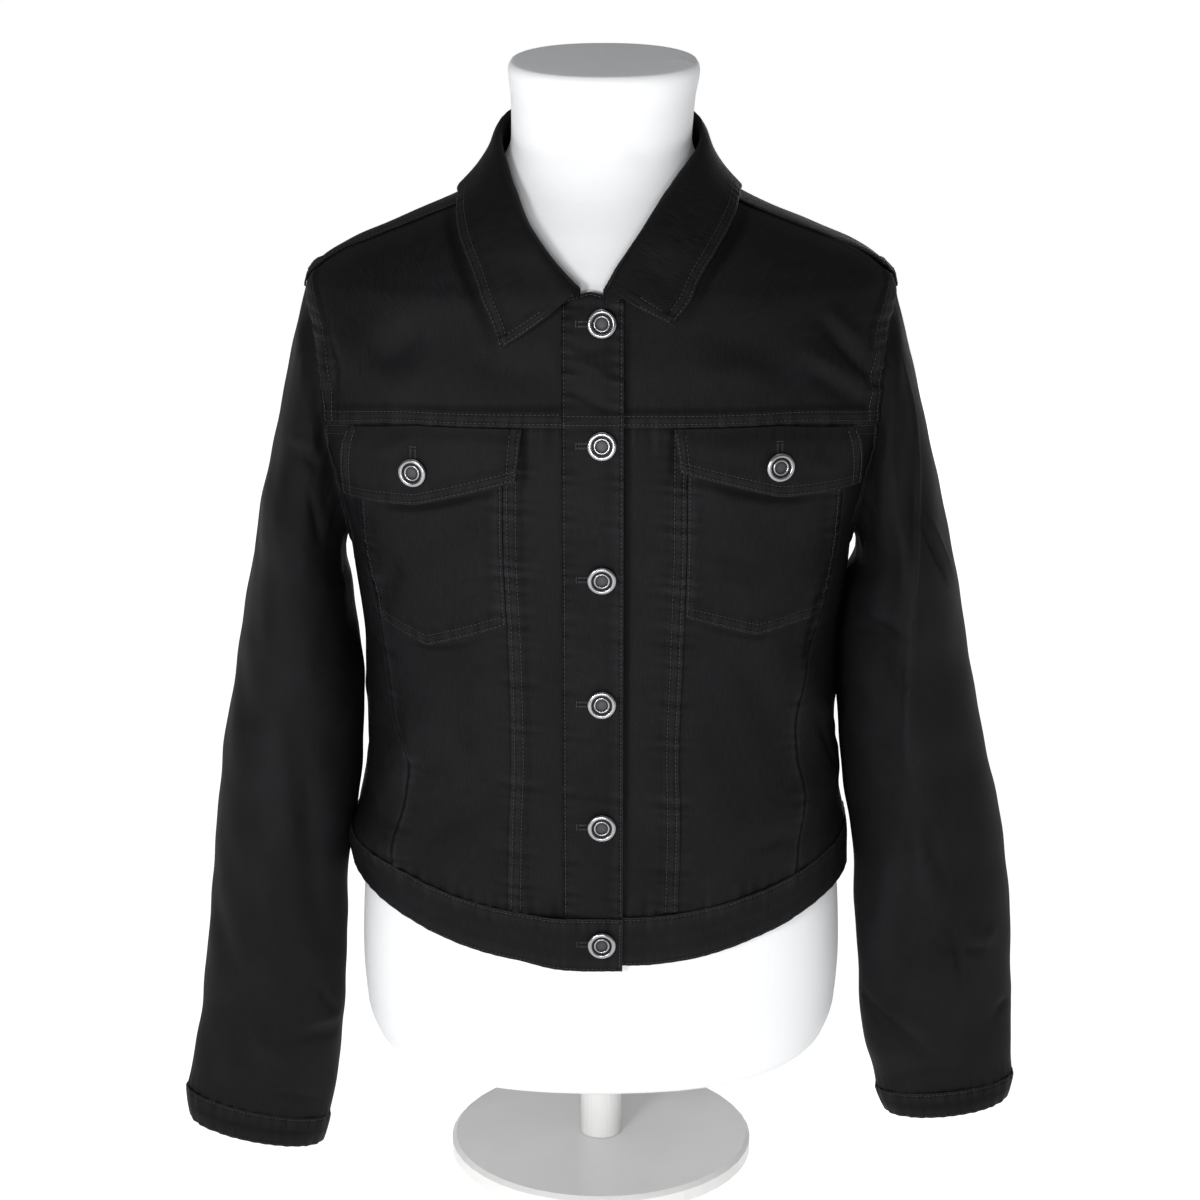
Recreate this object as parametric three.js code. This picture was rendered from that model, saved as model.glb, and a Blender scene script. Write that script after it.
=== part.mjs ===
import * as THREE from "three";

// A denim jacket on a limbless dress form, which stands on a short post and a round base.
// Sizes are millimetres and +Z is up. The front faces -Y and +X is the wearer's left side.
// The origin is the middle of the base's underside.

// Cloth
const CLOTH = 1.4; // one layer of denim
const DOUBLE = 2.2; // the folded cloth of waistband and cuffs
const COLLAR_CLOTH = 2.0;
const SEAM_GAP = 0.3; // between two pieces that meet at a seam
const CUFF_GAP = 0.8; // along the sleeve, between its end and the cuff
const LAYER_GAP = 0.8; // under a piece that lies on another
const OVER = LAYER_GAP + CLOTH; // how far a piece lying on a panel stands out

// Heights and widths of the front, from the jacket's own seams
const YOKE_SEAM_Z = 575;
const BACK_YOKE_Z = 575;
const YOKE_LEVEL_X = 120; // the yoke seams run level as far out as this
const PLACKET_TOP_Z = 651;
const PLACKET_INNER_X = -26;
const PLACKET_OUTER_X = 15;
const WAISTBAND = { frontHeight: 37, sideHeight: 31.5 };
const OVERLAP_DROP = 3; // the waistband's over end hangs this much lower

// The top edge of the waistband rises from the middle of the front towards the sides
const HEM = { frontZ: 225, rise: 42, frontY: -108, reach: 35 };

// Armhole: a tall oval seen from the side
const ARMHOLE = { z: 565, up: 90, front: 62, back: 66 };
const ARMHOLE_STEP = 15; // degrees between two points of the sleeve's top edge

// Neck seam: an oval seen from above
const NECK = { half: 80, front: 98, back: 69, shoulderY: -27 };

// Sections of the worn jacket: half width, depth in front and behind, squareness
const TORSO = [
  { z: 120, half: 171, front: 103, back: 108, square: 2.5 },
  { z: 200, half: 175, front: 107, back: 113, square: 2.5 },
  { z: 250, half: 175, front: 110, back: 112, square: 2.5 },
  { z: 300, half: 167, front: 114, back: 106, square: 2.4 },
  { z: 350, half: 164, front: 114, back: 100, square: 2.4 },
  { z: 400, half: 165, front: 113, back: 97, square: 2.4 },
  { z: 440, half: 170, front: 114, back: 99, square: 2.5 },
  { z: 480, half: 175, front: 118, back: 103, square: 2.6 },
  { z: 520, half: 187, front: 120, back: 108, square: 2.7 },
  { z: 560, half: 198, front: 117, back: 112, square: 2.8 },
  { z: 600, half: 202, front: 110, back: 112, square: 2.7 },
  { z: 635, half: 203, front: 102, back: 107, square: 2.4 },
  { z: 655, half: 200, front: 97, back: 102, square: 2.3 },
  { z: 666, half: 190, front: 92, back: 97, square: 2.2 },
  { z: 675, half: 176, front: 88, back: 93, square: 2.2 },
  { z: 685, half: 153, front: 84, back: 88, square: 2.2 },
  { z: 697, half: 124, front: 78, back: 83, square: 2.2 },
  { z: 710, half: 96, front: 71, back: 76, square: 2.2 },
  { z: 722, half: 80, front: 65, back: 68, square: 2.2 },
  { z: 745, half: 66, front: 57, back: 61, square: 2.2 },
  { z: 765, half: 64, front: 56, back: 60, square: 2.2 },
  { z: 800, half: 64, front: 56, back: 60, square: 2.2 },
];

// Sections of the dress form
const FORM = [
  { z: 72, half: 96, front: 56, back: 60, square: 2.2 },
  { z: 76, half: 122, front: 74, back: 78, square: 2.3 },
  { z: 86, half: 146, front: 89, back: 94, square: 2.4 },
  { z: 102, half: 161, front: 97, back: 103, square: 2.5 },
  { z: 126, half: 169, front: 101, back: 107, square: 2.5 },
  { z: 165, half: 171.5, front: 101, back: 107, square: 2.5 },
  { z: 210, half: 170, front: 101, back: 105, square: 2.5 },
  { z: 260, half: 156, front: 101, back: 98, square: 2.4 },
  { z: 330, half: 142, front: 101, back: 88, square: 2.4 },
  { z: 400, half: 146, front: 104, back: 88, square: 2.4 },
  { z: 470, half: 156, front: 110, back: 94, square: 2.4 },
  { z: 520, half: 162, front: 113, back: 100, square: 2.4 },
  { z: 570, half: 167, front: 109, back: 105, square: 2.5 },
  { z: 610, half: 176, front: 102, back: 104, square: 2.4 },
  { z: 640, half: 187, front: 96, back: 100, square: 2.3 },
  { z: 655, half: 190, front: 92, back: 94, square: 2.3 },
  { z: 664, half: 183, front: 88, back: 87, square: 2.2 },
  { z: 672, half: 172, front: 85, back: 82, square: 2.2 },
  { z: 682, half: 150, front: 80, back: 76, square: 2.2 },
  { z: 694, half: 121, front: 74, back: 71, square: 2.2 },
  { z: 706, half: 95, front: 66.5, back: 67, square: 2.2 },
  { z: 718, half: 76, front: 60, back: 61, square: 2.2 },
  { z: 732, half: 67, front: 55, back: 60, square: 2.2 },
  { z: 748, half: 61, front: 52, back: 57, square: 2.2 },
  { z: 775, half: 62, front: 52, back: 57, square: 2.2 },
  { z: 795, half: 64.5, front: 54, back: 58, square: 2.2 },
  { z: 799, half: 62.5, front: 52, back: 56, square: 2.2 },
];
const CAP_TILT = 0.08; // the neck's top rises this much per millimetre towards the back
const CAP_SHIFT = 2; // and it leans this far to the wearer's left
const CAP_TILT_FROM_Z = 740;

// Front seams, by the distance from the middle at each height
const STRIP_SEAM = [
  { z: 210, right: 64, left: 52 },
  { z: 290, right: 62, left: 53 },
  { z: 347, right: 60, left: 52 },
  { z: 410, right: 61, left: 54 },
  { z: 500, right: 64, left: 56 },
  { z: 580, right: 63, left: 56 },
];
const SIDE_SEAM = [
  { z: 210, right: 145, left: 136 },
  { z: 252, right: 144, left: 136 },
  { z: 309, right: 132, left: 139 },
  { z: 330, right: 129, left: 135 },
  { z: 359, right: 142, left: 132 },
  { z: 397, right: 147, left: 138 },
  { z: 441, right: 153, left: 153 },
  { z: 485, right: 161, left: 160 },
  { z: 575, right: 163, left: 163 },
];
const BACK_SEAM = [
  { z: 210, right: 96, left: 96 },
  { z: 330, right: 92, left: 92 },
  { z: 450, right: 112, left: 112 },
  { z: 575, right: 150, left: 150 },
];

// Pocket and flap outlines on each front, from the middle outwards
const POCKET = { right: { tipX: 117, tipZ: 417, endZ: 437 }, left: { tipX: 104, tipZ: 427, endZ: 443 } };
const FLAP = {
  right: { innerX: 52, outerX: 172, innerZ: 539, pointX: 123, pointZ: 520, outerZ: 518 },
  left: { innerX: 48, outerX: 173, innerZ: 545, pointX: 118, pointZ: 526, outerZ: 526 },
};
const FLAP_EDGE_IN = 4; // the flap narrows this much towards its point

// Large folds of the worn cloth: place on the surface, heading, size
const FOLDS = [
  { turn: -62, z: 322, heading: 62, long: 60, wide: 17, rise: 5 },
  { turn: -70, z: 262, heading: 20, long: 55, wide: 15, rise: 5 },
  { turn: 64, z: 372, heading: -58, long: 50, wide: 18, rise: 5 },
  { turn: 70, z: 300, heading: 15, long: 50, wide: 16, rise: 4 },
  { turn: -118, z: 300, heading: -20, long: 60, wide: 18, rise: 4 },
  { turn: 122, z: 340, heading: 25, long: 60, wide: 18, rise: 4 },
  { turn: 160, z: 390, heading: 8, long: 70, wide: 18, rise: 3 },
  { turn: -158, z: 440, heading: -12, long: 70, wide: 18, rise: -3 },
];

// Collar: where it rolls over and where its edge lies, round the neck from right front to left front
const COLLAR = [
  { rollTurn: -8, rollZ: 662, rollLift: 7, edgeTurn: -31.5, edgeZ: 627 },
  { rollTurn: -14, rollZ: 671, rollLift: 7, edgeTurn: -37, edgeZ: 643 },
  { rollTurn: -22, rollZ: 684, rollLift: 7, edgeTurn: -43, edgeZ: 663 },
  { rollTurn: -31, rollZ: 698, rollLift: 6, edgeTurn: -51, edgeZ: 683 },
  { rollTurn: -44, rollZ: 718, rollLift: 4, edgeTurn: -62, edgeZ: 699 },
  { rollTurn: -60, rollZ: 735, rollLift: 2, edgeTurn: -74, edgeZ: 707 },
  { rollTurn: -76, rollZ: 746, rollLift: 1.5, edgeTurn: -84, edgeZ: 710 },
  { rollTurn: -92, rollZ: 754, rollLift: 1.5, edgeTurn: -95, edgeZ: 710 },
  { rollTurn: -120, rollZ: 761, rollLift: 2.5, edgeTurn: -121, edgeZ: 705 },
  { rollTurn: -150, rollZ: 765, rollLift: 4, edgeTurn: -150, edgeZ: 700 },
  { rollTurn: -180, rollZ: 766, rollLift: 4.5, edgeTurn: -180, edgeZ: 698 },
  { rollTurn: -210, rollZ: 765, rollLift: 4, edgeTurn: -210, edgeZ: 700 },
  { rollTurn: -240, rollZ: 761, rollLift: 2.5, edgeTurn: -239, edgeZ: 705 },
  { rollTurn: -268, rollZ: 754, rollLift: 1.5, edgeTurn: -265, edgeZ: 711 },
  { rollTurn: -284, rollZ: 748, rollLift: 1.5, edgeTurn: -277, edgeZ: 711.5 },
  { rollTurn: -300, rollZ: 740, rollLift: 2, edgeTurn: -288, edgeZ: 709 },
  { rollTurn: -320, rollZ: 726, rollLift: 4, edgeTurn: -300, edgeZ: 702 },
  { rollTurn: -333, rollZ: 711, rollLift: 6, edgeTurn: -312, edgeZ: 689 },
  { rollTurn: -344, rollZ: 694, rollLift: 7, edgeTurn: -322, edgeZ: 671 },
  { rollTurn: -353, rollZ: 680, rollLift: 7, edgeTurn: -329, edgeZ: 656 },
  { rollTurn: -359, rollZ: 667, rollLift: 7, edgeTurn: -334, edgeZ: 645 },
];
const COLLAR_EDGE_LIFT = 4;
const COLLAR_BOW = 3; // the fall arches this much between roll and edge
const COLLAR_STATIONS = 48;
const COLLAR_ABOVE_SEAM = 1.2;

// Sleeves: the outer and inner side of each section, its half depths and how far forward it hangs
const SLEEVES = {
  right: [
    { outX: 207, outZ: 628, inX: 178, inZ: 468, front: 67, back: 70, y: 0 },
    { outX: 219, outZ: 571, inX: 179, inZ: 460, front: 71, back: 71, y: -1 },
    { outX: 232, outZ: 511, inX: 178.5, inZ: 450, front: 71, back: 69, y: -3 },
    { outX: 244, outZ: 449, inX: 176.5, inZ: 432, front: 67, back: 65, y: -5 },
    { outX: 256, outZ: 385, inX: 174.5, inZ: 374, front: 60, back: 58, y: -8 },
    { outX: 267, outZ: 320, inX: 175, inZ: 304, front: 54, back: 52, y: -11 },
    { outX: 275, outZ: 250, inX: 180, inZ: 232, front: 47, back: 46, y: -13 },
    { outX: 282, outZ: 180, inX: 184, inZ: 160, front: 40, back: 40, y: -14 },
    { outX: 291, outZ: 112, inX: 189, inZ: 90, front: 32, back: 32, y: -15 },
    { outX: 302, outZ: 56, inX: 199, inZ: 33, front: 26, back: 26, y: -16 },
  ],
  left: [
    { outX: 206, outZ: 627, inX: 178, inZ: 470, front: 67, back: 70, y: 0 },
    { outX: 219, outZ: 575, inX: 179, inZ: 463, front: 71, back: 71, y: -1 },
    { outX: 234, outZ: 511, inX: 178.5, inZ: 454, front: 71, back: 69, y: -3 },
    { outX: 248, outZ: 446, inX: 176.5, inZ: 436, front: 67, back: 65, y: -5 },
    { outX: 259, outZ: 386, inX: 174.5, inZ: 378, front: 60, back: 58, y: -8 },
    { outX: 271, outZ: 326, inX: 175.5, inZ: 312, front: 54, back: 52, y: -11 },
    { outX: 286, outZ: 258, inX: 180, inZ: 242, front: 47, back: 46, y: -13 },
    { outX: 294, outZ: 190, inX: 184, inZ: 174, front: 40, back: 40, y: -14 },
    { outX: 297, outZ: 125, inX: 190, inZ: 108, front: 32, back: 32, y: -15 },
    { outX: 300, outZ: 67, inX: 201, inZ: 55, front: 26, back: 26, y: -16 },
  ],
};
const CUFFS = {
  right: { outX: 300, outZ: 32, inX: 205, inZ: 12, front: 26, back: 26, y: -16 },
  left: { outX: 296, outZ: 48, inX: 209, inZ: 37, front: 26, back: 26, y: -16 },
};

// Soft rounds and hollows of the sleeves: place along the rows, direction round, size
const SLEEVE_FOLDS = {
  right: [
    { row: 3.1, angle: 60, rows: 0.5, wide: 40, rise: 5 },
    { row: 4.6, angle: 150, rows: 0.6, wide: 40, rise: -5 },
    { row: 5.2, angle: 70, rows: 0.5, wide: 50, rise: -4 },
    { row: 8.2, angle: 100, rows: 0.5, wide: 60, rise: 4 },
    { row: 9.2, angle: 90, rows: 0.35, wide: 50, rise: 4 },
  ],
  left: [
    { row: 4.0, angle: 92, rows: 3.2, wide: 13, rise: 6 },
    { row: 2.6, angle: 70, rows: 0.7, wide: 24, rise: -5 },
    { row: 8.3, angle: 95, rows: 0.5, wide: 50, rise: 5 },
    { row: 9.2, angle: 120, rows: 0.4, wide: 50, rise: 4 },
  ],
};

// Buttons
const BUTTON_HEIGHTS = [641, 563, 472, 383, 295, 207];
const BUTTON_X = 0.5;
const FLAP_BUTTONS = { right: { x: -123, z: 543 }, left: { x: 117, z: 547 } };
const BUTTON = { radius: 9.8, backRadius: 6, rim: 3.6, well: 2.2, ringRadius: 4.2, segments: 14 };

// Stand
const BASE = { radius: 110, height: 12, edge: 3, segments: 44 };
const POST = { radius: 15, segments: 28 };

// Mesh fineness
const PANEL_ROWS = 14;
const FORM_SEGMENTS = 32;
const SLEEVE_STEPS = 15;
const BAND_COLUMNS = 64;
const BAND_ROWS = 2;

const COLOURS = {
  denim: { color: 0x1c1b1d, roughness: 0.82, metalness: 0 },
  form: { color: 0xe9e8e6, roughness: 0.9, metalness: 0 },
  button: { color: 0x6f7074, roughness: 0.3, metalness: 1 },
  stand: { color: 0xe2e2e0, roughness: 0.5, metalness: 0 },
};

const rad = THREE.MathUtils.degToRad;
const deg = THREE.MathUtils.radToDeg;
const lerp = THREE.MathUtils.lerp;
const clamp = THREE.MathUtils.clamp;

// Smooth curve through a table's rows that never overshoots them
function smoothTable(rows, key) {
  const columns = Object.keys(rows[0]).filter((name) => name !== key);
  const slopes = {};
  for (const name of columns) {
    const steps = rows.slice(1).map((row, i) => (row[name] - rows[i][name]) / (row[key] - rows[i][key]));
    slopes[name] = rows.map((row, i) => {
      if (i === 0) return steps[0];
      if (i === rows.length - 1) return steps[i - 1];
      const product = steps[i - 1] * steps[i];
      return product <= 0 ? 0 : (2 * product) / (steps[i - 1] + steps[i]);
    });
  }
  const falling = rows[0][key] > rows[rows.length - 1][key];
  return (value) => {
    const passed = (row) => (falling ? row[key] >= value : row[key] <= value);
    let index = 0;
    while (index < rows.length - 2 && passed(rows[index + 1])) index += 1;
    const low = rows[index];
    const high = rows[index + 1];
    const span = high[key] - low[key];
    const t = clamp((value - low[key]) / span, 0, 1);
    const result = {};
    for (const name of columns) {
      const rise = high[name] - low[name];
      const start = slopes[name][index] * span;
      const end = slopes[name][index + 1] * span;
      result[name] = low[name] + start * t + (3 * rise - 2 * start - end) * t * t;
      result[name] += (start + end - 2 * rise) * t * t * t;
    }
    return result;
  };
}

const torsoAt = smoothTable(TORSO, "z");
const formAt = smoothTable(FORM, "z");

// A point of a section, seen from above: turn 0 is the front, 90 the wearer's left
function sectionPoint(section, turn, z) {
  const s = Math.sin(rad(turn));
  const c = Math.cos(rad(turn));
  const depth = c > 0 ? section.front : section.back;
  const sum = Math.abs(s / section.half) ** section.square + Math.abs(c / depth) ** section.square;
  const reach = sum ** (-1 / section.square);
  return new THREE.Vector3(s * reach, -c * reach, z);
}

function foldRise(turn, z) {
  let rise = 0;
  for (const fold of FOLDS) {
    const across = (turn - fold.turn) * rad(1) * 130;
    const up = z - fold.z;
    const along = across * Math.cos(rad(fold.heading)) + up * Math.sin(rad(fold.heading));
    const aside = up * Math.cos(rad(fold.heading)) - across * Math.sin(rad(fold.heading));
    rise += fold.rise * Math.exp(-((aside / fold.wide) ** 2) - (along / fold.long) ** 2);
  }
  return rise;
}

// A point of the jacket's surface, moved out by the lift
function surface(turn, z, lift = 0) {
  const small = 0.5;
  const point = sectionPoint(torsoAt(z), turn, z);
  const round = sectionPoint(torsoAt(z), turn + small, z).sub(sectionPoint(torsoAt(z), turn - small, z));
  const rise = sectionPoint(torsoAt(z + small), turn, z + small);
  rise.sub(sectionPoint(torsoAt(z - small), turn, z - small));
  const wrapped = THREE.MathUtils.euclideanModulo(turn + 180, 360) - 180;
  return point.addScaledVector(round.cross(rise).normalize(), lift + foldRise(wrapped, z));
}

// Where a distance from the middle lies on a section
function turnOf(x, z, behind = false) {
  const section = torsoAt(z);
  const part = (1 - Math.abs(x / section.half) ** section.square) ** (1 / section.square);
  const y = behind ? section.back * part : -section.front * part;
  return deg(Math.atan2(x, -y));
}

function armholePoint(angle, side) {
  const z = ARMHOLE.z + ARMHOLE.up * Math.cos(rad(angle));
  const s = Math.sin(rad(angle));
  const y = s > 0 ? -ARMHOLE.front * s : -ARMHOLE.back * s;
  const section = torsoAt(z);
  const depth = y < 0 ? section.front : section.back;
  const x = side * section.half * (1 - Math.abs(y / depth) ** section.square) ** (1 / section.square);
  return { turn: deg(Math.atan2(x, -y)), z };
}

// The height at which the surface passes through a place seen from above
function heightAbove(x, y) {
  let low = 600;
  let high = 790;
  while (high - low > 0.01) {
    const z = (low + high) / 2;
    const reach = sectionPoint(torsoAt(z), deg(Math.atan2(x, -y)), z);
    if (Math.hypot(reach.x, reach.y) > Math.hypot(x, y)) low = z;
    else high = z;
  }
  return { turn: deg(Math.atan2(x, -y)), z: low };
}

function neckPoint(angle) {
  const c = Math.cos(rad(angle));
  const depth = c > 0 ? NECK.front : NECK.back;
  return heightAbove(NECK.half * Math.sin(rad(angle)), -depth * c);
}

const SHOULDER_ANGLE = deg(Math.acos(-NECK.shoulderY / NECK.front));
const neckX = NECK.half * Math.sin(rad(SHOULDER_ANGLE));

function shoulderSeam(side) {
  const outer = armholePoint(ARMHOLE_STEP, side);
  const end = surface(outer.turn, outer.z);
  return (t) => heightAbove(lerp(side * neckX, end.x, t), lerp(NECK.shoulderY, end.y, t));
}

// The waistband's top edge
function hemPoint(turn) {
  let z = HEM.frontZ;
  for (let i = 0; i < 12; i += 1) {
    const y = sectionPoint(torsoAt(z), turn, z).y;
    z = HEM.frontZ + HEM.rise * (1 - Math.exp(-Math.max(y - HEM.frontY, 0) / HEM.reach));
  }
  return { turn, z };
}

// A seam that runs down a panel, from a height to the waistband
function downSeam(rows, side, topZ, behind = false) {
  const name = side < 0 ? "right" : "left";
  const distance = smoothTable(rows, "z");
  const place = (z) => ({ turn: turnOf(side * distance(z)[name], z, behind), z });
  let hemZ = HEM.frontZ + HEM.rise;
  for (let i = 0; i < 12; i += 1) hemZ = hemPoint(place(hemZ).turn).z;
  return (t) => place(lerp(hemZ, topZ, t));
}

function armholeReach(angle) {
  const place = armholePoint(angle, 1);
  return sectionPoint(torsoAt(place.z), place.turn, place.z).x;
}

const ARMHOLE_FRONT_X = armholeReach(90);
const ARMHOLE_BACK_X = armholeReach(270);

// The yoke seam dips a little where it meets the armhole
function yokeZ(x) {
  const outer = clamp((Math.abs(x) - YOKE_LEVEL_X) / (ARMHOLE_FRONT_X - YOKE_LEVEL_X), 0, 1);
  return lerp(YOKE_SEAM_Z, ARMHOLE.z, outer * outer);
}

function yokeSeam(x) {
  return { turn: turnOf(x, yokeZ(x)), z: yokeZ(x) };
}

function backYokeSeam(x) {
  const outer = clamp((Math.abs(x) - YOKE_LEVEL_X) / (ARMHOLE_BACK_X - YOKE_LEVEL_X), 0, 1);
  const z = lerp(BACK_YOKE_Z, ARMHOLE.z, outer * outer);
  return { turn: turnOf(x, z, true), z };
}

const between = (a, b) => (t) => ({ turn: lerp(a.turn, b.turn, t), z: lerp(a.z, b.z, t) });
const reversed = (curve) => (t) => curve(1 - t);

// Joins curves end to end, each with its share of the mesh's steps
function chain(...parts) {
  const total = parts.reduce((sum, part) => sum + part.steps, 0);
  return (t) => {
    let place = t * total;
    for (const part of parts) {
      if (place <= part.steps || part === parts[parts.length - 1]) return part.curve(place / part.steps);
      place -= part.steps;
    }
    return null;
  };
}

// A grid of places between four edges, kept half a seam's gap inside them.
// Its rows are a number of equal steps, or the steps' own places from 0 to 1.
function patch({ bottom, top, start, end }, columns, rows, inset = SEAM_GAP / 2) {
  const point = (place) => sectionPoint(torsoAt(place.z), place.turn, place.z);
  const measure = (curve) => {
    let length = 0;
    for (let i = 0; i < 16; i += 1) length += point(curve(i / 16)).distanceTo(point(curve((i + 1) / 16)));
    return length;
  };
  const inU = inset / Math.min(measure(bottom), measure(top));
  const inV = inset / Math.min(measure(start), measure(end));
  const blend = (u, v, name) => {
    const sides = (1 - v) * bottom(u)[name] + v * top(u)[name] + (1 - u) * start(v)[name] + u * end(v)[name];
    const low = (1 - u) * bottom(0)[name] + u * bottom(1)[name];
    const high = (1 - u) * top(0)[name] + u * top(1)[name];
    return sides - (1 - v) * low - v * high;
  };
  const grid = [];
  const places = Array.isArray(rows) ? rows : Array.from({ length: rows + 1 }, (_, j) => j / rows);
  for (const place of places) {
    const v = clamp(place, inV, 1 - inV);
    const row = [];
    for (let i = 0; i <= columns; i += 1) {
      const u = clamp(i / columns, inU, 1 - inU);
      row.push({ turn: blend(u, v, "turn"), z: blend(u, v, "z") });
    }
    grid.push(row);
  }
  return grid;
}

// A closed wall between two grids of points with the same rows
function wallGeometry(outer, inner, round = false) {
  const rows = outer.length;
  const columns = outer[0].length;
  const points = [...outer.flat(), ...inner.flat()];
  const triangles = [];
  const quad = (a, b, c, d) => triangles.push(a, b, c, a, c, d);
  const out = (j, i) => j * columns + (i % columns);
  const back = (j, i) => rows * columns + out(j, i);
  const lastColumn = round ? columns : columns - 1;
  for (let j = 0; j < rows - 1; j += 1) {
    for (let i = 0; i < lastColumn; i += 1) {
      quad(out(j, i), out(j, i + 1), out(j + 1, i + 1), out(j + 1, i));
      quad(back(j, i), back(j + 1, i), back(j + 1, i + 1), back(j, i + 1));
    }
  }
  for (let i = 0; i < lastColumn; i += 1) {
    quad(out(0, i), back(0, i), back(0, i + 1), out(0, i + 1));
    quad(out(rows - 1, i), out(rows - 1, i + 1), back(rows - 1, i + 1), back(rows - 1, i));
  }
  if (!round) {
    for (let j = 0; j < rows - 1; j += 1) {
      quad(out(j, 0), out(j + 1, 0), back(j + 1, 0), back(j, 0));
      quad(out(j, columns - 1), back(j, columns - 1), back(j + 1, columns - 1), out(j + 1, columns - 1));
    }
  }
  return closedGeometry(points, triangles);
}

// Faces are turned to point out when the enclosed volume comes out negative
function closedGeometry(points, triangles) {
  let volume = 0;
  for (let k = 0; k < triangles.length; k += 3) {
    const [a, b, c] = [points[triangles[k]], points[triangles[k + 1]], points[triangles[k + 2]]];
    volume += a.dot(b.clone().cross(c));
  }
  const index = volume < 0 ? triangles.slice().reverse() : triangles;
  const geometry = new THREE.BufferGeometry();
  geometry.setFromPoints(points);
  geometry.setIndex(index);
  geometry.computeVertexNormals();
  return geometry;
}

const group = new THREE.Group();

function addPiece(name, geometry, finish, position = null) {
  const material = new THREE.MeshStandardMaterial(COLOURS[finish]);
  material.name = finish;
  const mesh = new THREE.Mesh(geometry, material);
  mesh.name = name;
  if (position) mesh.position.copy(position);
  group.add(mesh);
  return mesh;
}

// A cloth panel: its outside lies on the surface, raised by the lift
function addPanel(name, grid, lift = 0, thickness = CLOTH) {
  const layer = (height) => grid.map((row) => row.map((place) => surface(place.turn, place.z, height)));
  return addPiece(name, wallGeometry(layer(lift), layer(lift - thickness)), "denim");
}

const SIDES = [
  { name: "right", side: -1 },
  { name: "left", side: 1 },
];

// Grids run from the wearer's right to the left, so the left side's are turned round
function sidePatch(side, edges, columns, rows) {
  if (side < 0) {
    const { bottom, top, inner, outer } = edges;
    return patch({ bottom: reversed(bottom), top: reversed(top), start: outer, end: inner }, columns, rows);
  }
  const { bottom, top, inner, outer } = edges;
  return patch({ bottom, top, start: inner, end: outer }, columns, rows);
}

function armholeRun(side, from, to) {
  return (t) => armholePoint(lerp(from, to, t), side);
}

function frontSeams(side) {
  const name = side < 0 ? "right" : "left";
  const stripTop = side * smoothTable(STRIP_SEAM, "z")(YOKE_SEAM_Z)[name];
  const sideTop = side * SIDE_SEAM[SIDE_SEAM.length - 1][name];
  return {
    middleX: PLACKET_INNER_X + 4,
    stripTop,
    sideTop,
    strip: downSeam(STRIP_SEAM, side, yokeZ(stripTop)),
    side: downSeam(SIDE_SEAM, side, yokeZ(sideTop)),
    back: downSeam(BACK_SEAM, side, backYokeSeam(BACK_SEAM[BACK_SEAM.length - 1][name]).z, true),
    backTop: side * BACK_SEAM[BACK_SEAM.length - 1][name],
  };
}

const hemRun = (from, to) => (t) => hemPoint(lerp(from, to, t));
const yokeRun = (from, to) => (t) => yokeSeam(lerp(from, to, t));

// The line down the front where the two fronts meet under the placket
function middleLine(x, fromZ, toZ) {
  return (t) => {
    const z = lerp(fromZ, toZ, t);
    return { turn: turnOf(x, z), z };
  };
}

function hemTurnAt(x) {
  let z = HEM.frontZ;
  for (let i = 0; i < 8; i += 1) z = hemPoint(turnOf(x, z)).z;
  return turnOf(x, z);
}

function addFronts() {
  for (const { name, side } of SIDES) {
    const seams = frontSeams(side);
    const innerX = side < 0 ? seams.middleX : PLACKET_OUTER_X + 3;
    const innerTurn = hemTurnAt(innerX);
    const stripTurn = seams.strip(0).turn;
    const sideTurn = seams.side(0).turn;
    const stripGrid = sidePatch(side, {
      bottom: hemRun(innerTurn, stripTurn),
      top: yokeRun(innerX, seams.stripTop),
      inner: middleLine(innerX, hemPoint(innerTurn).z, YOKE_SEAM_Z),
      outer: seams.strip,
    }, 3, PANEL_ROWS);
    addPanel(`front_strip_${name}`, stripGrid);
    const panelGrid = sidePatch(side, {
      bottom: hemRun(stripTurn, sideTurn),
      top: yokeRun(seams.stripTop, seams.sideTop),
      inner: seams.strip,
      outer: seams.side,
    }, 8, PANEL_ROWS);
    addPanel(`front_panel_${name}`, panelGrid);
    const armholeFront = armholePoint(90, side);
    const armholeBack = armholePoint(270, side);
    const wrappedBack = { turn: side * Math.abs(armholeBack.turn), z: armholeBack.z };
    const turned = (curve) => (t) => {
      const place = curve(t);
      const turn = side * THREE.MathUtils.euclideanModulo(side * place.turn, 360);
      return { turn, z: place.z };
    };
    const backTop = turned(() => backYokeSeam(seams.backTop))(0);
    const sideGrid = sidePatch(side, {
      bottom: hemRun(sideTurn, turned(seams.back)(0).turn),
      top: chain(
        { curve: between(seams.side(1), armholeFront), steps: 2 },
        { curve: turned(armholeRun(side, 90, 270)), steps: 12 },
        { curve: between(wrappedBack, backTop), steps: 2 },
      ),
      inner: seams.side,
      outer: turned(seams.back),
    }, 16, PANEL_ROWS);
    addPanel(`side_panel_${name}`, sideGrid);
    const yokeInner = side < 0 ? seams.middleX : PLACKET_OUTER_X + 3;
    const neckFrom = deg(Math.asin(Math.abs(yokeInner) / NECK.half)) * side;
    const neckLine = (t) => neckPoint(lerp(neckFrom, side * SHOULDER_ANGLE, t));
    const yokeGrid = sidePatch(side, {
      bottom: yokeRun(yokeInner, side * ARMHOLE_FRONT_X),
      top: shoulderSeam(side),
      inner: chain(
        { curve: between(yokeSeam(yokeInner), neckLine(0)), steps: 4 },
        { curve: neckLine, steps: 6 },
      ),
      outer: armholeRun(side, 90, ARMHOLE_STEP),
    }, 9, 10);
    addPanel(`front_yoke_${name}`, yokeGrid);
  }
}

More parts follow.
